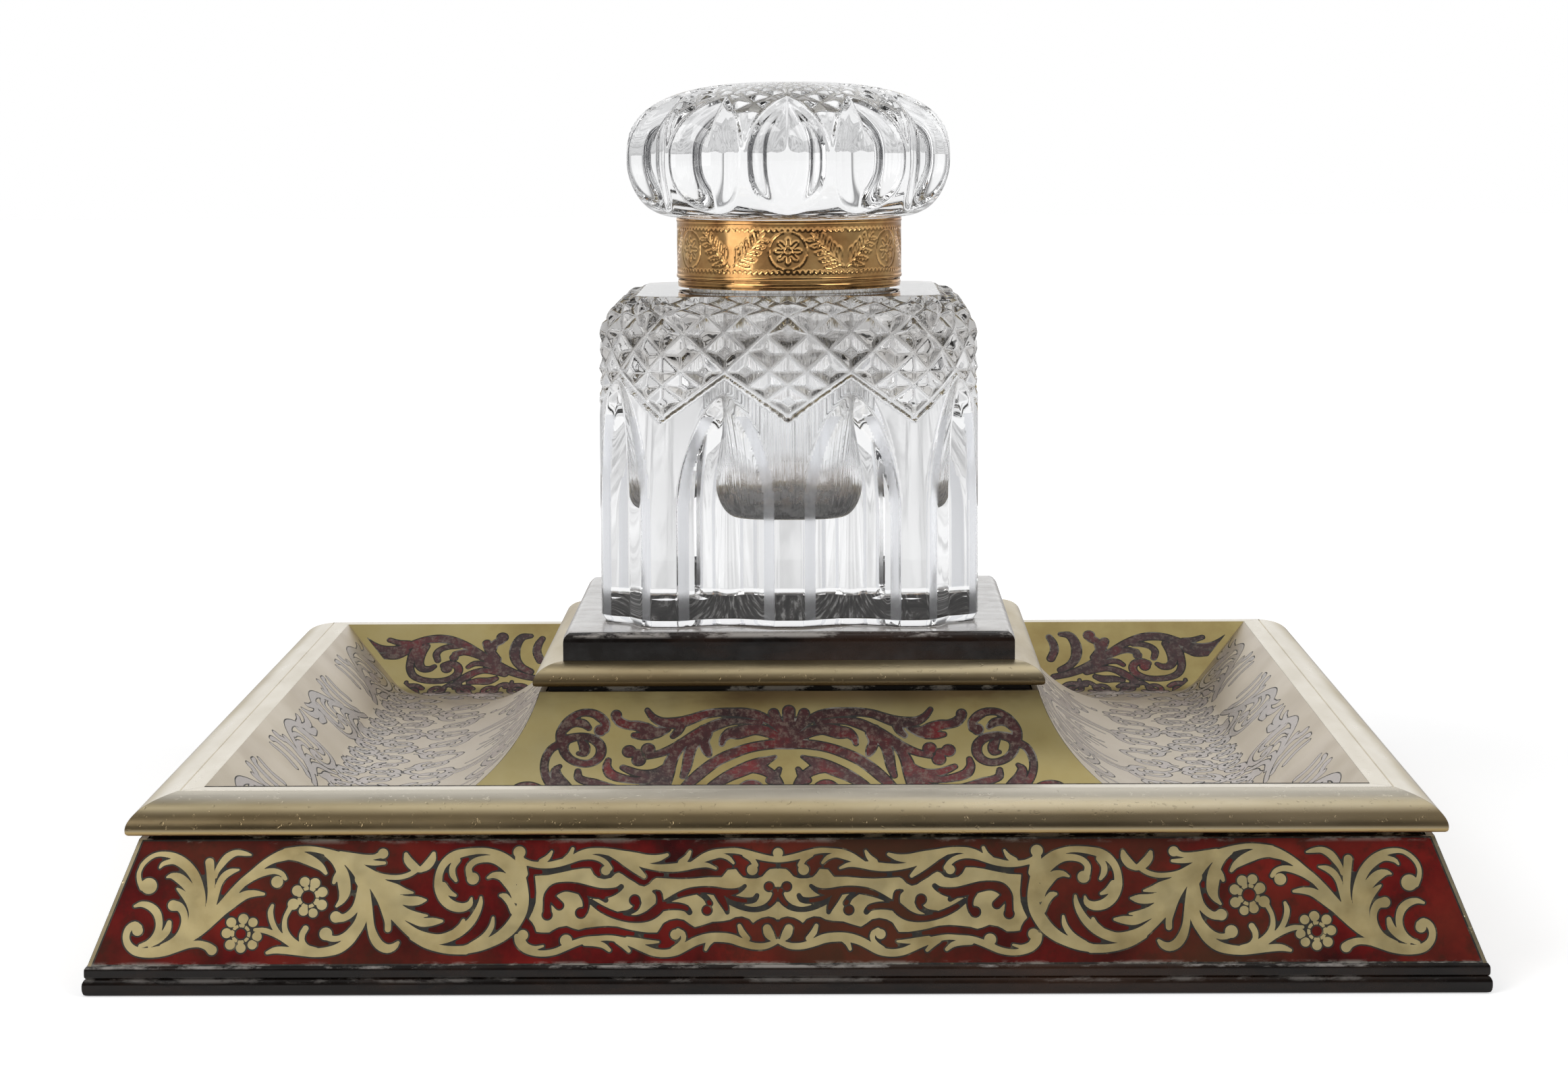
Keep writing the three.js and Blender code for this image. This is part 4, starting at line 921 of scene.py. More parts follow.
def rounded_square(half, corner, along):
    # Points round a square with round corners, anticlockwise from the front's middle, and which way they face
    flat = half - corner
    turns, rest = np.divmod(along + flat, 2 * flat + PI / 2 * corner)
    angle = np.clip((rest - 2 * flat) / corner, 0, PI / 2)
    x = np.minimum(rest, 2 * flat) - flat + corner * np.sin(angle)
    y = -half + corner * (1 - np.cos(angle))
    turn = turns * PI / 2
    place = np.stack([x * np.cos(turn) - y * np.sin(turn), x * np.sin(turn) + y * np.cos(turn)], -1)
    face = np.stack([np.sin(angle + turn), -np.cos(angle + turn)], -1)
    return place, face


def bottle_cells(along, quarter):
    # The twelve cells round the bottle: two on each face and one round each corner, from the front's middle
    turns, rest = np.divmod(along, quarter)
    cell = np.interp(rest, [0, FACE_CELL, quarter - FACE_CELL, quarter], [0, 1, 2, 3])
    number = np.minimum(cell.astype(int), 2)
    centre = np.array([FACE_CELL / 2, quarter / 2, quarter - FACE_CELL / 2])[number]
    return turns * 3 + cell, rest - centre, number == 1


def bottle_profile():
    # Heights, and the setback and lean of the side at each, up to the flat of the shoulder
    rows = int((BOTTLE_SIDE_TOP - BOTTLE_FOOT) / GLASS_STEP)
    side = np.linspace(BOTTLE_FOOT + FOOT_BEVEL, BOTTLE_SIDE_TOP, rows)
    lean = np.concatenate([side * 0, np.linspace(0, PI / 2, SHOULDER_ROWS)[1:]])
    rise = (BOTTLE_SHOULDER_TOP - BOTTLE_SIDE_TOP) * np.sin(lean[rows:])
    return np.concatenate([side, BOTTLE_SIDE_TOP + rise]), SHOULDER_SETBACK * (1 - np.cos(lean)), lean


def diamond_band(cell, height):
    # How deep the lattice of the diamond band is cut
    place = cell[None, :] + 0.5
    run = np.interp(height, [BAND_LOW, BAND_CROSSING, BAND_HIGH, BOTTLE_SHOULDER_TOP], BAND_RUN)[:, None]
    cuts = [(0, LARGE_CUT_WIDTH, LARGE_CUT_DEPTH)]
    cuts += [(share, SMALL_CUT_WIDTH, SMALL_CUT_DEPTH) for share in SMALL_CUT_SHARES]
    deep = np.zeros((len(height), len(cell)))
    for line in (place + run, place - run):
        for share, width, depth in cuts:
            away = line - share - np.round(line - share)
            deep = np.maximum(deep, groove(away * DIAMOND_SIDE_WIDTH, width, depth))
    low_line = BAND_LOW + (BAND_CROSSING - BAND_LOW) * 2 * (0.5 - np.abs(place - np.round(place)))
    inside = height[:, None] > low_line - BAND_MARGIN
    inside &= height[:, None] < BOTTLE_SHOULDER_TOP - BAND_TOP_MARGIN
    return np.where(inside, deep, 0)


def bottle_part(spot):
    # The part of the bottle that a face belongs to, by its place, apart from the flutes' bevels
    if spot.z < (BOTTLE_FOOT + FOOT_SLACK) * MM:
        across, along = sorted((abs(spot.x), abs(spot.y)))
        return GROUND if across < GROUND_HALF * MM and along < GROUND_LONG_HALF * MM else CLEAR
    if spot.xy.length < (BORE_RADIUS + BORE_SLACK) * MM:
        return INKED if spot.z < INK_TOP * MM else CLEAR
    return BANDED if spot.z > BAND_LOW * MM else CLEAR


def well_rings():
    # Radius and height from the neck's foot outside, over its top and down to the floor of the well
    rings = [(NECK_RADIUS, BOTTLE_SHOULDER_TOP), (NECK_RADIUS, NECK_TOP - NECK_EDGE),
             (NECK_RADIUS - NECK_EDGE, NECK_TOP), (BORE_RADIUS + NECK_EDGE, NECK_TOP),
             (BORE_RADIUS, NECK_TOP - NECK_EDGE)]
    rings += [(BORE_RADIUS, z) for z in np.linspace(NECK_TOP - BORE_EDGE, WELL_FLOOR + WELL_ROUND, BORE_ROWS)]
    rings += [(BORE_RADIUS - WELL_ROUND * (1 - math.cos(a)), WELL_FLOOR + WELL_ROUND * (1 - math.sin(a)))
              for a in np.linspace(0, PI / 2, WELL_ROWS)[1:]]
    return [*rings, (WELL_MIDDLE, WELL_FLOOR)]


def make_bottle():
    quarter = 2 * (BOTTLE_HALF - BOTTLE_CORNER) + PI / 2 * BOTTLE_CORNER
    count = 4 * int(round(quarter / GLASS_STEP / 3)) * 3
    along = np.arange(count) * 4 * quarter / count
    place, face = rounded_square(BOTTLE_HALF, BOTTLE_CORNER, along)
    cell, across, at_corner = bottle_cells(along, quarter)
    height, setback, lean = bottle_profile()
    face_half = FLUTE_HALF * arch_share(height, FLUTE_SPRING, FLUTE_APEX)
    corner_half = (FLUTE_HALF - (3 * FACE_CELL - quarter) / 2) * arch_share(height, FLUTE_SPRING, CORNER_APEX)
    edges = np.where(at_corner[None, :], arch_edge(across[None, :], corner_half, height),
                     arch_edge(across[None, :], face_half, height))
    deep = hollow_cut(edges, FLUTE_HALF, FLUTE_BEVEL, FLUTE_BEVEL_SLOPE, FLUTE_RADIUS)
    deep = np.maximum(deep, diamond_band(cell, height))
    sides = []
    for z, back, tilt, cut in zip(height, setback, lean, deep):
        out = -back - cut * math.cos(tilt)
        sides.append(at_height(place + face * out[:, None], z - cut * math.sin(tilt)))
    foot = sides[0][:, :2] - face * FOOT_BEVEL * FOOT_BEVEL_IN
    rows = [at_height(foot * share, BOTTLE_FOOT) for share in (*FOOT_SHARES, 1)] + sides
    heading = place / np.linalg.norm(place, axis=1)[:, None]
    neck = at_height(heading * NECK_RADIUS, BOTTLE_SHOULDER_TOP)
    rows += [sides[-1] * (1 - share) + neck * share for share in SHOULDER_SHARES]
    turn = np.arctan2(heading[:, 1], heading[:, 0])
    ribs = WELL_RIB * sum(np.sin(number * turn + number) for number in WELL_RIB_COUNTS)
    for radius, z in well_rings():
        inside = (radius <= BORE_RADIUS) * min(1, radius / BORE_RADIUS)
        rows.append(at_height(heading * (radius + inside * ribs)[:, None], z))
    mesh = grid_mesh("cut_bottle", rows, BOTTLE_FOOT, WELL_FLOOR, glass, ground_foot, inked_glass, band_glass,
                     painted_highlight_bevel_glass)
    parts = np.array([bottle_part(tile.center) for tile in mesh.polygons])
    # The flutes' bevels take the paler glass, a painted highlight along their edges
    bevel = np.zeros((len(rows) - 1, count), bool)
    bevel[FOOT_ROWS:FOOT_ROWS + len(height) - 1] = ((edges > BEVEL_START) & (edges < FLUTE_BEVEL))[:-1]
    bevel = np.append(bevel.ravel(), np.zeros(len(parts) - bevel.size, bool))
    parts[bevel & (parts == CLEAR)] = BEVELLED
    mesh.polygons.foreach_set("material_index", parts)
    add_piece("cut_bottle", mesh, "bottle", "cut_glass", ("bottle",))


def lid_profile():
    low = np.linspace(0, PI / 2, LID_LOW_ROWS)
    high = np.linspace(0, PI / 2, LID_HIGH_ROWS)[1:-2]
    radius = np.concatenate([LID_FOOT_RADIUS + (LID_RADIUS - LID_FOOT_RADIUS) * np.sin(low),
                             LID_RADIUS * np.cos(high) ** (2 / LID_DOME_POWER)])
    height = np.concatenate([LID_WIDEST - (LID_WIDEST - LID_FOOT) * np.cos(low),
                             LID_WIDEST + (LID_TOP - LID_WIDEST) * np.sin(high) ** (2 / LID_DOME_POWER)])
    return radius, height


def hobnails(turn, radius, height, edge):
    # Crossed cuts on the dome, which stay clear of the flutes and grow finer towards the top
    reach = np.log(LID_RADIUS / radius)[:, None] * LID_FLUTES / (2 * PI)
    size = 2 * PI * radius[:, None] / LID_FLUTES / math.sqrt(2)
    nails = np.zeros(edge.shape)
    for line in (2 * (turn + reach), 2 * (turn - reach)):
        nails = np.maximum(nails, groove(line - np.round(line), 2 * HOBNAIL_HALF, 1))
    fade = np.clip((height - HOBNAIL_LOW) / HOBNAIL_RISE, 0, 1)[:, None]
    fade = fade * np.clip(size / HOBNAIL_FULL_SIZE, HOBNAIL_LEAST, 1)
    return nails * HOBNAIL_DEPTH * fade * np.clip(-edge / HOBNAIL_MARGIN, 0, 1)


def make_lid():
    radius, height = lid_profile()
    angle = full_turn(LID_FLUTES * LID_FLUTE_POINTS) - PI / 2
    step_r, step_z = np.gradient(radius), np.gradient(height)
    length = np.hypot(step_r, step_z)
    run = np.concatenate([[0], np.cumsum(np.hypot(np.diff(radius), np.diff(height)))])
    pitch = 2 * PI / LID_FLUTES
    offset = (angle + PI / 2 + pitch / 2) % pitch - pitch / 2
    up = arch_share(height, LID_FLUTE_SPRING, LID_FLUTE_APEX)
    down = np.clip((LID_FLUTE_SPRING - height) / (LID_FLUTE_SPRING - LID_FLUTE_LOW), 0, 1)
    half = LID_FLUTE_HALF * np.where(height > LID_FLUTE_SPRING, up, np.sqrt(1 - down ** 3))
    edge = arch_edge(offset[None, :] * radius[:, None], half, run)
    deep = hollow_cut(edge, LID_FLUTE_HALF, LID_FLUTE_BEVEL, LID_FLUTE_SLOPE, LID_FLUTE_RADIUS)
    deep = np.maximum(deep, hobnails(angle[None, :] / pitch, radius, height, edge))
    stub = [(LID_MIDDLE, LID_STUB_FOOT), (LID_STUB_INNER, LID_STUB_FOOT),
            (LID_STUB_RADIUS, LID_STUB_FOOT + LID_STUB_BEVEL), (LID_STUB_RADIUS, LID_FOOT)]
    rows = [circle(angle, r, z) for r, z in stub]
    rows += [circle(angle, r - cut * out_r, z + cut * in_z)
             for r, z, out_r, in_z, cut in zip(radius, height, step_z / length, step_r / length, deep)]
    mesh = grid_mesh("cut_lid", rows, LID_STUB_FOOT, LID_TOP, glass, stub_plaster)
    under = [int(tile.center.z < (LID_STUB_FOOT + STUB_SLACK) * MM) for tile in mesh.polygons]
    mesh.polygons.foreach_set("material_index", under)
    add_piece("cut_lid", mesh, "lid", "cut_glass", ("lid_glass",))


# Mouldings: fine mitred lengths on the CAD pieces' own sections. A nose is the rounded front of a moulding,
# given by shares of its width, from the front inwards, and of its height.
MITRE_GAP, MITRE_STATIONS, NOSE_STEP = 0.03, 25, 0.25
BEAD_HALF, BEAD_BACK, BEAD_TOP = 126.999, 115.0, 3.1
BEAD_NOSE = ((0.3, 0), (0.1, 0.08), (0.02, 0.28), (0, 0.5), (0.02, 0.75), (0.12, 0.94), (0.25, 1))
FILLET_HALF, FILLET_BACK, FILLET_TOP = 126.6, 114.6, 5.4
FILLET_NOSE = ((0.16, 0), (0.02, 0.14), (0, 0.45), (0.03, 0.8), (0.2, 1))
RIM_HALF, RIM_FOOT, RIM_TOP, RIM_WIDTH = 119.85, 28.0, 34.8, 8.75
RIM_NOSE = ((0.06, 0), (0.012, 0.05), (0, 0.16), (0.02, 0.28), (0.075, 0.41), (0.17, 0.55), (0.32, 0.7),
            (0.52, 0.83), (0.75, 0.93), (0.97, 1))
RIM_LINE, RIM_LINE_HALF, RIM_LINE_DEPTH = 111.1, 0.18, 0.3
RIM_ROUND = ((0.3, 0), (0, 0.18), (0, 0.6))
RIM_REBATE_HALF, RIM_REBATE_TOP = 115.65, 31.2
CAP_HALF, CAP_BACK, CAP_FOOT, CAP_TOP, CAP_WIDTH = 50.85, 40.05, 44.3, 48.7, 10.8
CAP_NOSE = ((0.06, 0), (0.012, 0.06), (0, 0.2), (0.02, 0.38), (0.075, 0.58), (0.18, 0.78), (0.33, 0.93),
            (0.5, 1))
SEAT_HALF, SEAT_CORNER, SEAT_TOP, SEAT_ROUND, SEAT_POINTS = 45.3, 0.7, 54.3, 2.0, 96
SEAT_TOP_HALVES, SEAT_FOOT_SHARE, SEAT_ROUND_ROWS = (30.0, 12.0), 0.5, 9


def mitred_mesh(name, outline, material):
    # A straight length with both ends cut at 45 degrees, from a closed outline of half widths and heights
    half, z = np.array(outline).T
    shares = np.linspace(-1, 1, MITRE_STATIONS)
    points = np.vstack([np.column_stack([share * (half - MITRE_GAP), -half, z]) for share in shares])
    count, last = len(half), (MITRE_STATIONS - 1) * len(half)
    ends = [tuple(range(count))[::-1], tuple(range(last, last + count))]
    return make_outward(solid_mesh(name, points, [*ring_quads(MITRE_STATIONS, count), *ends], material))


def four_sides(name, outline, material, slot):
    for turn, side in enumerate(SIDES):
        mesh = mitred_mesh(f"fine_{name}_{side}", outline, material)
        add_sharp(f"fine_{name}_{side}", mesh, "base", slot, (f"{name}_{side}",), turn)


def nose(half, foot, width, height, shares):
    line = np.array([(half - width * inwards, foot + height * up, 0.0) for inwards, up in shares])
    return smooth_line(line, NOSE_STEP)[:, :2].tolist()


def make_mouldings():
    bead = nose(BEAD_HALF, 0, BEAD_TOP, BEAD_TOP, BEAD_NOSE)
    four_sides("plinth_bead", [*bead, (BEAD_BACK, BEAD_TOP), (BEAD_BACK, 0)], ebony, "ebonised")
    fillet_high = FILLET_TOP - BEAD_TOP
    fillet = nose(FILLET_HALF, BEAD_TOP, fillet_high, fillet_high, FILLET_NOSE)
    fillet += [(FILLET_BACK, FILLET_TOP), (FILLET_BACK, BEAD_TOP)]
    four_sides("plinth_fillet", fillet, ebony, "ebonised")
    rim = nose(RIM_HALF, RIM_FOOT, RIM_WIDTH, RIM_TOP - RIM_FOOT, RIM_NOSE)
    rim += [(RIM_LINE + RIM_LINE_HALF, RIM_TOP), (RIM_LINE, RIM_TOP - RIM_LINE_DEPTH),
            (RIM_LINE - RIM_LINE_HALF, RIM_TOP)]
    rim += [(TRAY_ARRIS + inwards, RIM_TOP - down) for inwards, down in RIM_ROUND]
    rim += [(TRAY_ARRIS, RIM_REBATE_TOP), (RIM_REBATE_HALF, RIM_REBATE_TOP), (RIM_REBATE_HALF, RIM_FOOT)]
    four_sides("rim_moulding", rim, brass, "brass")
    cap = nose(CAP_HALF, CAP_FOOT, CAP_WIDTH, CAP_TOP - CAP_FOOT, CAP_NOSE)
    four_sides("cap_moulding", [*cap, (CAP_BACK, CAP_TOP), (CAP_BACK, CAP_FOOT)], brass, "brass")


def make_seat():
    # The black block under the bottle, with a softly rounded upper edge
    low = SEAT_TOP - SEAT_ROUND
    rings = [(SEAT_HALF, CAP_TOP), (SEAT_HALF, low)]
    rings += [(SEAT_HALF - SEAT_ROUND * (1 - math.cos(a)), low + SEAT_ROUND * math.sin(a))
              for a in np.linspace(0, PI / 2, SEAT_ROUND_ROWS)[1:]]
    rings += [(half, SEAT_TOP) for half in SEAT_TOP_HALVES]
    eighths = np.arange(SEAT_POINTS) / SEAT_POINTS * 8
    rows = []
    for half, z in rings:
        along = eighths * (half - SEAT_CORNER + PI / 4 * SEAT_CORNER)
        rows.append(at_height(rounded_square(half, SEAT_CORNER, along)[0], z))
    rows.insert(0, rows[0] * (SEAT_FOOT_SHARE, SEAT_FOOT_SHARE, 1))
    mesh = grid_mesh("fine_seat", rows, CAP_TOP, SEAT_TOP, seat_black)
    add_sharp("fine_seat", mesh, "base", "ebonised", ("seat_block",))


# Collar: smooth gilt rings and an engraved band
COLLAR_LOW, COLLAR_HIGH, COLLAR_EDGE = 123.0, 135.4, 0.9
COLLAR_RADIUS, COLLAR_BAND_RADIUS, COLLAR_INNER_RADIUS = 23.52, 23.4, 22.9
RING_POINTS, BAR_DEPTH, BAR_CORNER, BAR_CORNER_POINTS = 192, 1.0, 0.22, 5
FLANGE_RADIUS, FLANGE_LOW, FLANGE_HIGH, FLANGE_CORNER = 23.26, 121.2, 122.72, 0.5
ENGRAVED_STEP, ENGRAVED_CELL, ENGRAVED_DEPTH, ENGRAVED_EDGE, ENGRAVED_SLOPE = 0.2, 0.08, 0.14, 0.1, 0.16
ENGRAVED_REACH, FIELD_EDGE = 0.6, 1.0
# The rosette, the stem beside it and the border, from the middle of the band, with half widths of the strokes
PETALS, PETAL = 8, ((1.1, -0.35), (2.2, -0.42), (2.75, 0), (2.2, 0.42), (1.1, 0.35))
PETAL_LINE, CIRCLE_LINE, CIRCLES = 0.1, 0.12, ((0.8, 13), (3.9, 25))
STEM_FROM_END, STEM_TIP, STEM_STEP = ((0.4, -3.2), (2.4, -1.6), (4.4, 0.4)), (4.9, 3.4), 1.0
LEAF_LONG, LEAF_SHRINK, LEAF_TIP, LEAF_BULGE, LEAF_BOWS = 3.6, 0.14, 0.75, 0.45, (0.65, 0.25)
LEAF_LINES = (0.09, 0.11, 0.07)
SCALLOP, SCALLOP_RISE, SCALLOP_IN, SCALLOP_LINES = 0.6, 0.5, 0.75, (0.09, 0.11, 0.09)


def ring_mesh(name, angle, rings, *materials):
    # A closed ring from the points of its section, or from whole rings of points
    rows = [row if len(row) > 2 else circle(angle, *row) for row in rings]
    faces = ring_quads(len(rows), len(angle), True)
    return make_outward(solid_mesh(name, np.vstack(rows), faces, *materials))


def round_bar(radius, low, high, corner):
    # A ring's section with rounded outer corners
    bend = np.linspace(0, PI / 2, BAR_CORNER_POINTS)
    middle = radius - corner
    lower = [(middle + corner * math.sin(a), low + corner - corner * math.cos(a)) for a in bend]
    upper = [(middle + corner * math.cos(a), high - corner + corner * math.sin(a)) for a in bend]
    return [(radius - BAR_DEPTH, low), *lower, *upper, (radius - BAR_DEPTH, high)]


def engraving(reach):
    # A sixth of the collar's band: a rosette, and a spray of leaves on each side of it
    middle = (COLLAR_LOW + COLLAR_HIGH) / 2
    strokes = []
    for turn in range(PETALS):
        a = turn * 2 * PI / PETALS
        cos, sin = math.cos(a), math.sin(a)
        strokes.append([(u * cos - v * sin, middle + u * sin + v * cos, PETAL_LINE) for u, v in PETAL])
    for radius, count in CIRCLES:
        strokes.append([(radius * math.cos(a), middle + radius * math.sin(a), CIRCLE_LINE)
                        for a in np.linspace(0, 2 * PI, count)])
    stem = [(reach - back, up) for back, up in STEM_FROM_END]
    stem = smooth_line(np.array([(x, middle + up, CIRCLE_LINE) for x, up in (*stem, STEM_TIP)]), STEM_STEP)
    strokes.append(stem)
    for i in range(1, len(stem) - 1, 2):
        root = stem[i][:2]
        run = (stem[i + 1] - stem[i - 1])[:2]
        run = run / np.linalg.norm(run)
        long = LEAF_LONG - LEAF_SHRINK * i
        for side in (1, -1):
            out = side * np.array([-run[1], run[0]])
            tip = root + long * LEAF_TIP * (run + out)
            for bow in LEAF_BOWS:
                bulge = root + long * (LEAF_BULGE * run + bow * out)
                strokes.append([(*spot, half) for spot, half in zip((root, bulge, tip), LEAF_LINES)])
    low, high = COLLAR_LOW + COLLAR_EDGE + SCALLOP_IN, COLLAR_HIGH - COLLAR_EDGE - SCALLOP_IN
    for z, lift in ((low, SCALLOP_RISE), (high, -SCALLOP_RISE)):
        for x in np.arange(SCALLOP, reach, 2 * SCALLOP):
            spots = ((x - SCALLOP, z), (x, z + lift), (x + SCALLOP, z))
            strokes.append([(*spot, half) for spot, half in zip(spots, SCALLOP_LINES)])
    return [np.array(stroke) for stroke in strokes]


def make_collar():
    low, high = COLLAR_LOW + COLLAR_EDGE, COLLAR_HIGH - COLLAR_EDGE
    bars = (("collar_edge_top", COLLAR_RADIUS, high, COLLAR_HIGH, BAR_CORNER, "lid"),
            ("collar_edge_low", COLLAR_RADIUS, COLLAR_LOW, low, BAR_CORNER, "lid"),
            ("neck_flange", FLANGE_RADIUS, FLANGE_LOW, FLANGE_HIGH, FLANGE_CORNER, "bottle"))
    for name, *bar, body in bars:
        add_sharp(name, ring_mesh(name, full_turn(RING_POINTS), round_bar(*bar), gilt), body, "gilt")
    reach = PI * COLLAR_BAND_RADIUS / 6
    field = Field((-FIELD_EDGE, low - FIELD_EDGE), (reach + FIELD_EDGE, high + FIELD_EDGE), ENGRAVED_CELL)
    for stroke in engraving(reach):
        field.stroke(stroke, ENGRAVED_REACH)
    around = full_turn(12 * int(reach / ENGRAVED_STEP))
    along = (around + PI / 2) * COLLAR_BAND_RADIUS
    along = np.abs((along + reach) % (2 * reach) - reach)
    rows = []
    for z in np.linspace(low, high, int((high - low) / ENGRAVED_STEP)):
        away = field.at(at_height(along[:, None], z)) + ENGRAVED_EDGE
        cut = ENGRAVED_DEPTH * np.clip(1 - away / ENGRAVED_SLOPE, 0, 1)
        rows.append(circle(around, COLLAR_BAND_RADIUS - cut, z))
    rows += [(COLLAR_INNER_RADIUS, high), (COLLAR_INNER_RADIUS, low)]
    add_sharp("engraved_band", ring_mesh("engraved_band", around, rows, gilt), "lid", "gilt")


# Materials. Places of wear, of painted shade and of painted highlight are heights, given in millimetres from
# a piece's own foot or top.
GLASS_COLOR = (0.965, 0.97, 0.975)


def residue(tree, color):
    # Old whitish polish, dried along the top and the foot of the side panels
    top, foot = above(tree, RIM_FOOT - 2.1, RIM_FOOT - 1.2), above(tree, FILLET_TOP + 0.9, FILLET_TOP + 0.1)
    flecks = mottled(tree, 260, (0.5, 0.0), (0.6, 1.0), detail=6, rough=0.7, stretch=(0.4, 1, 1))
    return blend_color(tree, product(tree, most(tree, top, foot), flecks, 0.5), color, (0.4, 0.37, 0.32))


def paint_shell(tree):
    # Tortoiseshell over a red ground: clear red with soft darker clouds, under a thick polish
    clouds = mottled(tree, 55, (0.32, (0.035, 0.004, 0.004)), (0.5, (0.12, 0.008, 0.007)),
                     (0.7, (0.21, 0.016, 0.011)), detail=5, rough=0.62)
    specks = mottled(tree, 210, (0.36, 0.55), (0.5, 0.0), detail=6, rough=0.7)
    clouds = blend_color(tree, specks, clouds, (0.03, 0.012, 0.008))
    stains = mottled(tree, 16, (0.42, 0.0), (0.62, 0.75), detail=3)
    feed(tree, Base_Color=residue(tree, blend_color(tree, stains, clouds, (0.06, 0.032, 0.016))))
    bump(tree, noise(tree, 160, detail=3), 0.00004, 0.5)


def paint_inlay_brass(tree):
    # Old brass sheet: dull gold with brown tarnish and hair scratches
    color = mottled(tree, 90, (0.28, (0.46, 0.35, 0.155)), (0.5, (0.585, 0.475, 0.235)),
                    (0.72, (0.65, 0.545, 0.29)), detail=6, rough=0.6)
    rough = mottled(tree, 220, (0.35, 0.34), (0.7, 0.5), detail=4)
    feed(tree, Base_Color=residue(tree, color), Roughness=rough)
    bump(tree, noise(tree, 420, stretch=(1, 5, 5)), 0.00002, 0.5)


def paint_mastic(tree):
    color = mottled(tree, 420, (0.4, (0.006, 0.005, 0.004)), (0.6, (0.022, 0.018, 0.01)),
                    (0.72, (0.13, 0.11, 0.06)), rough=0.7)
    feed(tree, Base_Color=residue(tree, color))


def painted_grazing_sheen(tree, color, grey):
    # Painted sheen: the colour turns grey where the surface is seen at a flat angle, standing for the pale
    # reflection there
    weight = tree.nodes.new("ShaderNodeLayerWeight")
    weight.inputs["Blend"].default_value = 0.5
    flat = zone(tree, weight.outputs["Facing"], 0.55, 0.85)
    return blend_color(tree, product(tree, flat, 0.8), color, grey)


def paint_tray_shell(tree):
    # The shell in the trays is browner and duller than on the sides
    clouds = mottled(tree, 110, (0.32, (0.03, 0.018, 0.018)), (0.52, (0.075, 0.024, 0.025)),
                     (0.72, (0.2, 0.014, 0.016)), detail=5, rough=0.65)
    specks = mottled(tree, 950, (0.48, 0.0), (0.66, 0.8), detail=6, rough=0.7)
    clouds = blend_color(tree, specks, clouds, (0.2, 0.15, 0.12))
    # A painted sheen turns it pale grey where it is seen at a flat angle
    feed(tree, Base_Color=painted_grazing_sheen(tree, clouds, (0.62, 0.55, 0.5)))


def paint_tray_brass(tree):
    # Worn, wiped brass: bright, browner in soft patches and under the cap, and pale where a painted sheen
    # greys it at flat angles
    color = mottled(tree, 26, (0.3, (0.27, 0.19, 0.07)), (0.5, (0.41, 0.33, 0.14)),
                    (0.75, (0.47, 0.40, 0.21)), detail=6, rough=0.62)
    top_edge = above(tree, NECK_HIGH - 4.6, NECK_HIGH - 0.3)
    stain = mottled(tree, 38, (0.48, 0.0), (0.62, 0.8), detail=6, rough=0.6, stretch=(0.3, 1, 1))
    color = blend_color(tree, product(tree, top_edge, stain), color, (0.13, 0.075, 0.035))
    rough = mottled(tree, 60, (0.35, 0.34), (0.7, 0.46), detail=5)
    # Painted sheen: pale grey where the sheet is seen at a flat angle
    feed(tree, Base_Color=painted_grazing_sheen(tree, color, (0.67, 0.59, 0.5)), Roughness=rough)
    bump(tree, noise(tree, 70, detail=3), 0.00012, 0.35)


def paint_aged_brass(tree):
    # Cast brass mouldings: mottled olive and gold with fine pits, a pale painted highlight along the rim's
    # crest, painted shade in dark brown low on the rim's and the cap's noses, and a lighter gold painted
    # highlight along the rim's lip
    color = mottled(tree, 24, (0.3, (0.39, 0.30, 0.165)), (0.52, (0.54, 0.45, 0.275)),
                    (0.75, (0.65, 0.57, 0.41)), detail=7, rough=0.65, stretch=(0.35, 1, 1))
    # Painted shade low on the rim's and the cap's noses, and painted highlights along the rim's lip and crest
    low = most(tree, belt(tree, RIM_FOOT, 0.4, 1.4, 3.3, 5.1), belt(tree, CAP_FOOT, -1.3, -0.3, 1.5, 3.3))
    painted_highlight_lip = belt(tree, RIM_FOOT, -1, 0, 0.6, 0.9)
    painted_highlight_crest = belt(tree, RIM_TOP, -1.8, -0.5, 0.4, 1.2)
    color = blend_color(tree, painted_highlight_crest, color, (0.78, 0.72, 0.60))
    color = blend_color(tree, product(tree, low, 0.75), color, (0.12, 0.075, 0.028))
    color = blend_color(tree, product(tree, painted_highlight_lip, 0.8), color, (0.46, 0.32, 0.13))
    rough = mottled(tree, 130, (0.35, 0.26), (0.7, 0.4), detail=5, stretch=(0.3, 1, 1))
    feed(tree, Base_Color=color, Roughness=rough)
    bump(tree, mottled(tree, 900, (0.28, 0.0), (0.36, 1.0), detail=2), 0.00006, 0.6)


def paint_polish(tree, wear_and_highlight):
    # Black polish with brown showing through, and pale flecks where it is worn; on the plinth's edges these
    # flecks are also a painted highlight
    black = mottled(tree, 60, (0.4, (0.007, 0.005, 0.004)), (0.75, (0.045, 0.021, 0.012)), detail=7,
                    rough=0.7, stretch=(0.3, 1, 1))
    flecks = mottled(tree, 150, (0.5, 0.0), (0.58, 1.0), detail=6, rough=0.7, stretch=(0.35, 1, 1))
    feed(tree, Roughness=mottled(tree, 200, (0.35, 0.16), (0.7, 0.36), detail=5))
    bump(tree, noise(tree, 500, detail=4, stretch=(0.3, 1, 1)), 0.00005, 0.4)
    return blend_color(tree, product(tree, wear_and_highlight, flecks), black, (0.42, 0.39, 0.36))


def paint_plinth(tree):
    # Pale flecks along the fillet's top edge, and a little at the joint over the bead: rubbed polish, and a
    # painted highlight on these edges
    edge = belt(tree, FILLET_TOP, -0.6, -0.3, 0, 0.4)
    joint_wear_and_highlight = product(tree, belt(tree, BEAD_TOP, -0.9, -0.3, 0, 0.5), 0.4)
    feed(tree, Base_Color=paint_polish(tree, product(tree, most(tree, edge, joint_wear_and_highlight), 0.6)))


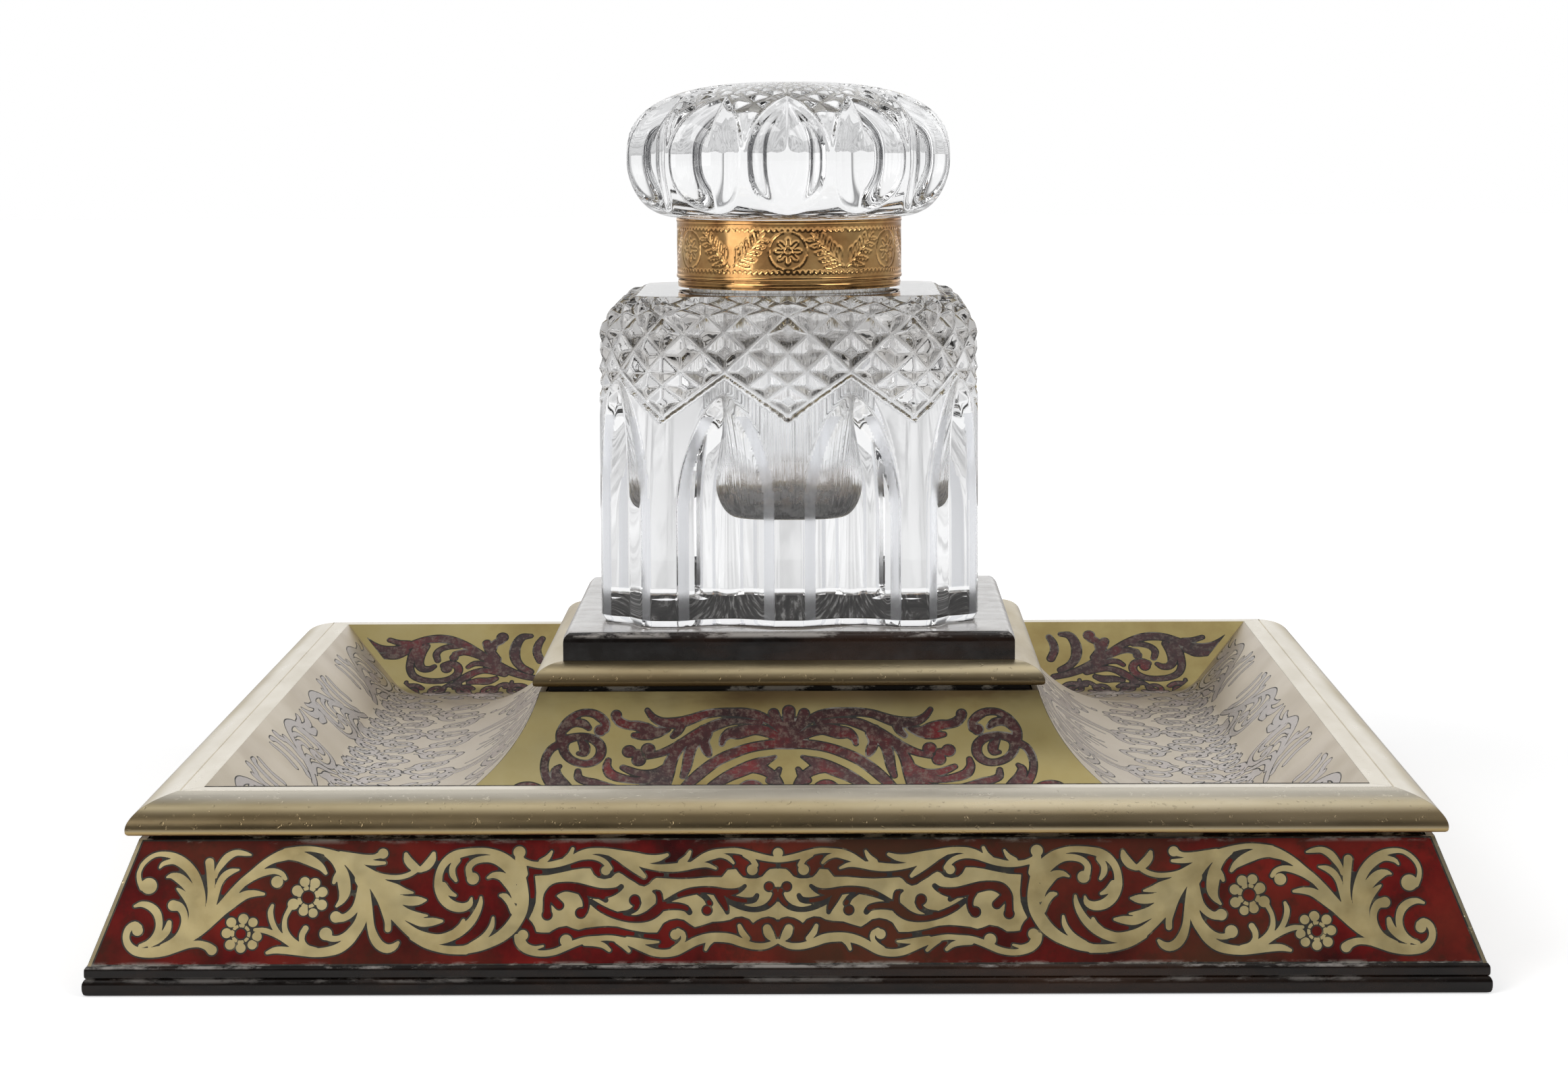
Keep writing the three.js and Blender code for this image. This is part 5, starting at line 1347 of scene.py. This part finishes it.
def paint_seat(tree):
    # Rubbed round its upper edge, with a coat on the top, and a painted grey sheen where it is seen at a flat
    # angle
    x, y, _ = axes_of(tree, object_place(tree))
    far = most(tree, math_node(tree, "ABSOLUTE", x), math_node(tree, "ABSOLUTE", y))
    rim_half = (SEAT_HALF - 0.1) * MM
    edge = product(tree, belt(tree, SEAT_TOP, -1.3, -0.55, 0.2, 0.6), 0.9)
    color = paint_polish(tree, product(tree, edge, zone(tree, far, rim_half - 3.5 * MM, rim_half)))
    coat = product(tree, above(tree, SEAT_TOP - 0.5, SEAT_TOP - 0.1), 0.9)
    feed(tree, Base_Color=painted_grazing_sheen(tree, color, (0.3, 0.26, 0.22)), Coat_Weight=coat)


def paint_gilt(tree):
    color = mottled(tree, 90, (0.32, (0.36, 0.16, 0.06)), (0.5, (0.6, 0.33, 0.125)), (0.7, (0.8, 0.52, 0.22)),
                    detail=6, rough=0.6)
    feed(tree, Base_Color=color, Roughness=mottled(tree, 300, (0.35, 0.1), (0.7, 0.24)))


def paint_ground_foot(tree):
    # The ground underside seen through the glass: dark, with pale streaks
    streaks = mottled(tree, 850, (0.4, (0.03, 0.027, 0.025)), (0.54, (0.09, 0.083, 0.078)),
                      (0.66, (0.6, 0.59, 0.57)), detail=5, rough=0.6, stretch=(1, 0.04, 1),
                      distortion=0.15)
    feed(tree, Base_Color=streaks)


def paint_inked_glass(tree):
    # Glass with a thin brown-grey film of dried ink, broken into patches
    fade = above(tree, INK_TOP + 0.5, INK_TOP - 5)
    fade = product(tree, fade, above(tree, WELL_FLOOR - 0.1, WELL_FLOOR + 1.1))
    film = product(tree, mottled(tree, 230, (0.46, 0.25), (0.58, 1.0), detail=7, rough=0.68), fade)
    side = above(tree, WELL_FLOOR + 2.3, WELL_FLOOR + 3.9)
    tone = blend_color(tree, side, (0.85, 0.85, 0.85), (0.58, 0.5, 0.44))
    color = blend_color(tree, film, (0.96, 0.96, 0.97), tone)
    through = math_node(tree, "SUBTRACT", 1.0, product(tree, film, 0.5))
    feed(tree, Base_Color=color, Roughness=product(tree, film, 0.4), Transmission_Weight=through)


def paint_band_glass(tree):
    # The finely cut shoulder is tinted greyer than the smooth glass, in mottled patches, more so higher up
    # the band
    cut = above(tree, BAND_LOW + 1.2, BAND_LOW + 15.2)
    band_grey = mottled(tree, 240, (0.35, (0.42, 0.40, 0.38)), (0.65, (0.64, 0.63, 0.62)), detail=5, rough=0.6)
    feed(tree, Base_Color=blend_color(tree, cut, GLASS_COLOR, band_grey))


def paint_ground_wood(tree):
    # The carcase: plain wood; the grooves under the rim and the cap are painted black as shade, with pale
    # flecks of dried polish left in them
    grain = mottled(tree, 60, (0.35, (0.2, 0.11, 0.05)), (0.65, (0.33, 0.21, 0.11)), detail=6,
                    stretch=(0.12, 1, 1))
    painted_shade_under_rim = belt(tree, RIM_FOOT, -1.5, -1.2, 0.1, 0.4)
    painted_shade_under_cap = belt(tree, CAP_FOOT, -1.6, -1.3, 0.3, 0.6)
    flecks = mottled(tree, 190, (0.5, (0.012, 0.009, 0.007)), (0.56, (0.5, 0.47, 0.42)), detail=6, rough=0.7,
                     stretch=(0.4, 1, 1))
    feed(tree, Base_Color=blend_color(tree, most(tree, painted_shade_under_rim, painted_shade_under_cap), grain, flecks))


def make_world():
    # White for the camera and behind the object, grey round it and above, and dark behind the camera
    world = bpy.data.worlds.new("studio")
    bpy.context.scene.world = world
    world.use_nodes = True
    tree = world.node_tree
    _, y, z = axes_of(tree, tree.nodes.new("ShaderNodeTexCoord").outputs["Generated"])
    color = blend_color(tree, zone(tree, y, 0.66, 0.8), (0.25, 0.25, 0.255), (1.0, 1.0, 1.0))
    color = blend_color(tree, zone(tree, y, -0.1, -0.35), color, (0.045, 0.045, 0.05))
    color = blend_color(tree, zone(tree, z, 0.5, 0.75), color, (0.3, 0.3, 0.3))
    seen = tree.nodes.new("ShaderNodeLightPath").outputs["Is Camera Ray"]
    wire(tree, blend_color(tree, seen, color, (1.0, 1.0, 1.0)), tree.nodes["Background"].inputs["Color"])


# Lamps in metres and watts: softboxes in front at the left and right, a weaker one overhead, and a low one
# that catches the left edges
LAMPS = (("left", (-0.75, -0.75, 0.75), 0.7, 6.0), ("right", (0.8, -0.6, 0.7), 0.6, 3.5),
         ("top", (0.1, 0.1, 1.2), 0.9, 2.0), ("edge", (-0.62, -0.5, 0.16), 0.4, 0.75))
LAMP_TARGET = (0, 0, 0.06)
FLOOR_HALF, FLOOR_DROP = 4000.0, 0.05
# The floor's glow near the object and what far off adds to it, between two distances in metres, and how much
# of it rays through the glass and glossy rays see
GLOW_NEAR, GLOW_ADDED, GLOW_START, GLOW_END = 0.42, 0.6, 0.2, 0.55
GLOW_THROUGH, GLOW_GLOSSY = 0.46, 0.15
SENSOR_WIDTH = 36.0


def make_lights():
    for name, place, size, power in LAMPS:
        lamp = bpy.data.lights.new(f"softbox_{name}", "AREA")
        lamp.shape = "SQUARE"
        lamp.size = size
        lamp.energy = power
        thing = bpy.data.objects.new(f"softbox_{name}", lamp)
        thing.location = place
        thing.rotation_euler = (Vector(LAMP_TARGET) - Vector(place)).to_track_quat("-Z", "Y").to_euler()
        thing.visible_camera = False
        bpy.context.scene.collection.objects.link(thing)


def make_floor():
    # White paper that glows a little for the camera and for rays through the glass, which also see soft
    # upright lanes of light, and keeps the object's shadow
    material = principled("floor_paper", None, (0.9, 0.9, 0.9), 0.9, Specular_IOR_Level=0.0)
    tree = material.node_tree
    away = tree.nodes.new("ShaderNodeVectorMath")
    away.operation = "LENGTH"
    tree.links.new(object_place(tree), away.inputs[0])
    edge = zone(tree, away.outputs["Value"], GLOW_START, GLOW_END)
    light = math_node(tree, "ADD", product(tree, edge, GLOW_ADDED), GLOW_NEAR)
    rays = tree.nodes.new("ShaderNodeLightPath").outputs
    broad = mottled(tree, 7, (0.38, 0.5), (0.52, 1.0), detail=2, stretch=(1, 0.1, 1))
    fine = mottled(tree, 34, (0.36, 0.4), (0.5, 1.05), detail=4, rough=0.6, stretch=(1, 0.05, 1))
    through = product(tree, rays["Is Transmission Ray"], broad, fine, GLOW_THROUGH)
    seen = most(tree, rays["Is Camera Ray"], through)
    seen = most(tree, seen, product(tree, rays["Is Glossy Ray"], GLOW_GLOSSY))
    glow = tree.nodes.new("ShaderNodeEmission")
    wire(tree, product(tree, seen, light), glow.inputs["Strength"])
    both = tree.nodes.new("ShaderNodeAddShader")
    wire(tree, tree.nodes["Principled BSDF"].outputs[0], both.inputs[0])
    wire(tree, glow.outputs[0], both.inputs[1])
    wire(tree, both.outputs[0], tree.nodes["Material Output"].inputs["Surface"])
    corners = [(x * FLOOR_HALF, y * FLOOR_HALF, 0) for x, y in ((-1, -1), (1, -1), (1, 1), (-1, 1))]
    floor = bpy.data.objects.new("floor", solid_mesh("floor", corners, [(0, 1, 2, 3)], material))
    floor.location.z = -FLOOR_DROP * MM
    bpy.context.scene.collection.objects.link(floor)


def make_camera():
    forward, right, up = camera_axes()
    data = bpy.data.cameras.new("camera")
    data.sensor_width = SENSOR_WIDTH
    data.lens = round(PHOTO_FOCAL / PHOTO_WIDTH * SENSOR_WIDTH, 2)
    camera = bpy.data.objects.new("camera", data)
    axes = Matrix([tuple(axis) for axis in (right, up, -forward)]).transposed()
    camera.matrix_world = Matrix.Translation(Vector(CAMERA_PLACE * MM)) @ axes.to_4x4()
    bpy.context.scene.collection.objects.link(camera)
    bpy.context.scene.camera = camera


bpy.context.scene.view_settings.view_transform = "Standard"
make_world()
make_lights()
make_floor()
make_camera()

brass = principled("aged_brass", paint_aged_brass, (0.42, 0.36, 0.22), 0.3, 0.92)
gilt = principled("gilt_metal", paint_gilt, (0.8, 0.5, 0.16), 0.16, 1.0)
polish = {"Specular_IOR_Level": 0.35, "Coat_Roughness": 0.22}
ebony = principled("black_polish", paint_plinth, (0.008, 0.006, 0.005), 0.22, **polish)
seat_black = principled("seat_polish", paint_seat, (0.008, 0.006, 0.005), 0.22, Coat_Weight=0.9, **polish)
shell = principled("red_shell", paint_shell, (0.2, 0.01, 0.008), 0.16, Coat_Weight=0.35, Coat_Roughness=0.08)
inlay_brass = principled("inlay_brass", paint_inlay_brass, (0.42, 0.34, 0.17), 0.42, 0.65)
mastic = principled("dark_mastic", paint_mastic, (0.018, 0.010, 0.007), 0.55)
tray_shell = principled("brown_shell", paint_tray_shell, (0.1, 0.015, 0.015), 0.25, Specular_IOR_Level=0.35)
tray_brass = principled("tray_brass", paint_tray_brass, (0.5, 0.43, 0.27), 0.38, 0.85)
clear = {"IOR": 1.54, "Transmission_Weight": 1.0}
glass = principled("cut_glass", None, GLASS_COLOR, 0.0, **clear)
ground_foot = principled("ground_foot", paint_ground_foot, (0.05, 0.045, 0.04), 0.9, Specular_IOR_Level=0.0)
inked_glass = principled("inked_glass", paint_inked_glass, (0.9, 0.9, 0.9), 0.0, **clear)
band_glass = principled("band_glass", paint_band_glass, GLASS_COLOR, 0.0, **clear)
# Paler, duller glass on the flutes' bevels: a painted highlight along the arches' edges
painted_highlight_bevel_glass = principled("painted_highlight_bevel_glass", None, (0.9, 0.92, 0.97), 0.2, IOR=1.54, Transmission_Weight=0.86)
wood = principled("plain_wood", paint_ground_wood, (0.28, 0.17, 0.09), 0.7)
baize = principled("green_baize", None, (0.03, 0.08, 0.04), 0.95)
stub_plaster = principled("stub_plaster", None, (0.3, 0.27, 0.24), 0.8)
plaster = principled("white_plaster", None, (0.75, 0.72, 0.65), 0.9)
# The CAD pieces' own materials, by the longest key that a node's name starts with
finishes = {
    "plinth": ebony, "side": shell, "corner": brass, "rim": brass, "tray": brass, "cap": brass,
    "carcase": wood, "bottom": wood, "baize": baize, "seat": seat_black, "bottle": glass, "lid_glass": glass,
    "neck_plaster": plaster, "lid_plaster": plaster, "neck_ring": gilt, "hinge": gilt, "lid_collar": gilt,
}
for name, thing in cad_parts.items():
    keys = [key for key in finishes if name.startswith(key)]
    thing.data.materials.clear()
    thing.data.materials.append(finishes[max(keys, key=len)])
make_side_panels()
make_tray_sheets()
make_mouldings()
make_seat()
make_collar()
make_bottle()
make_lid()
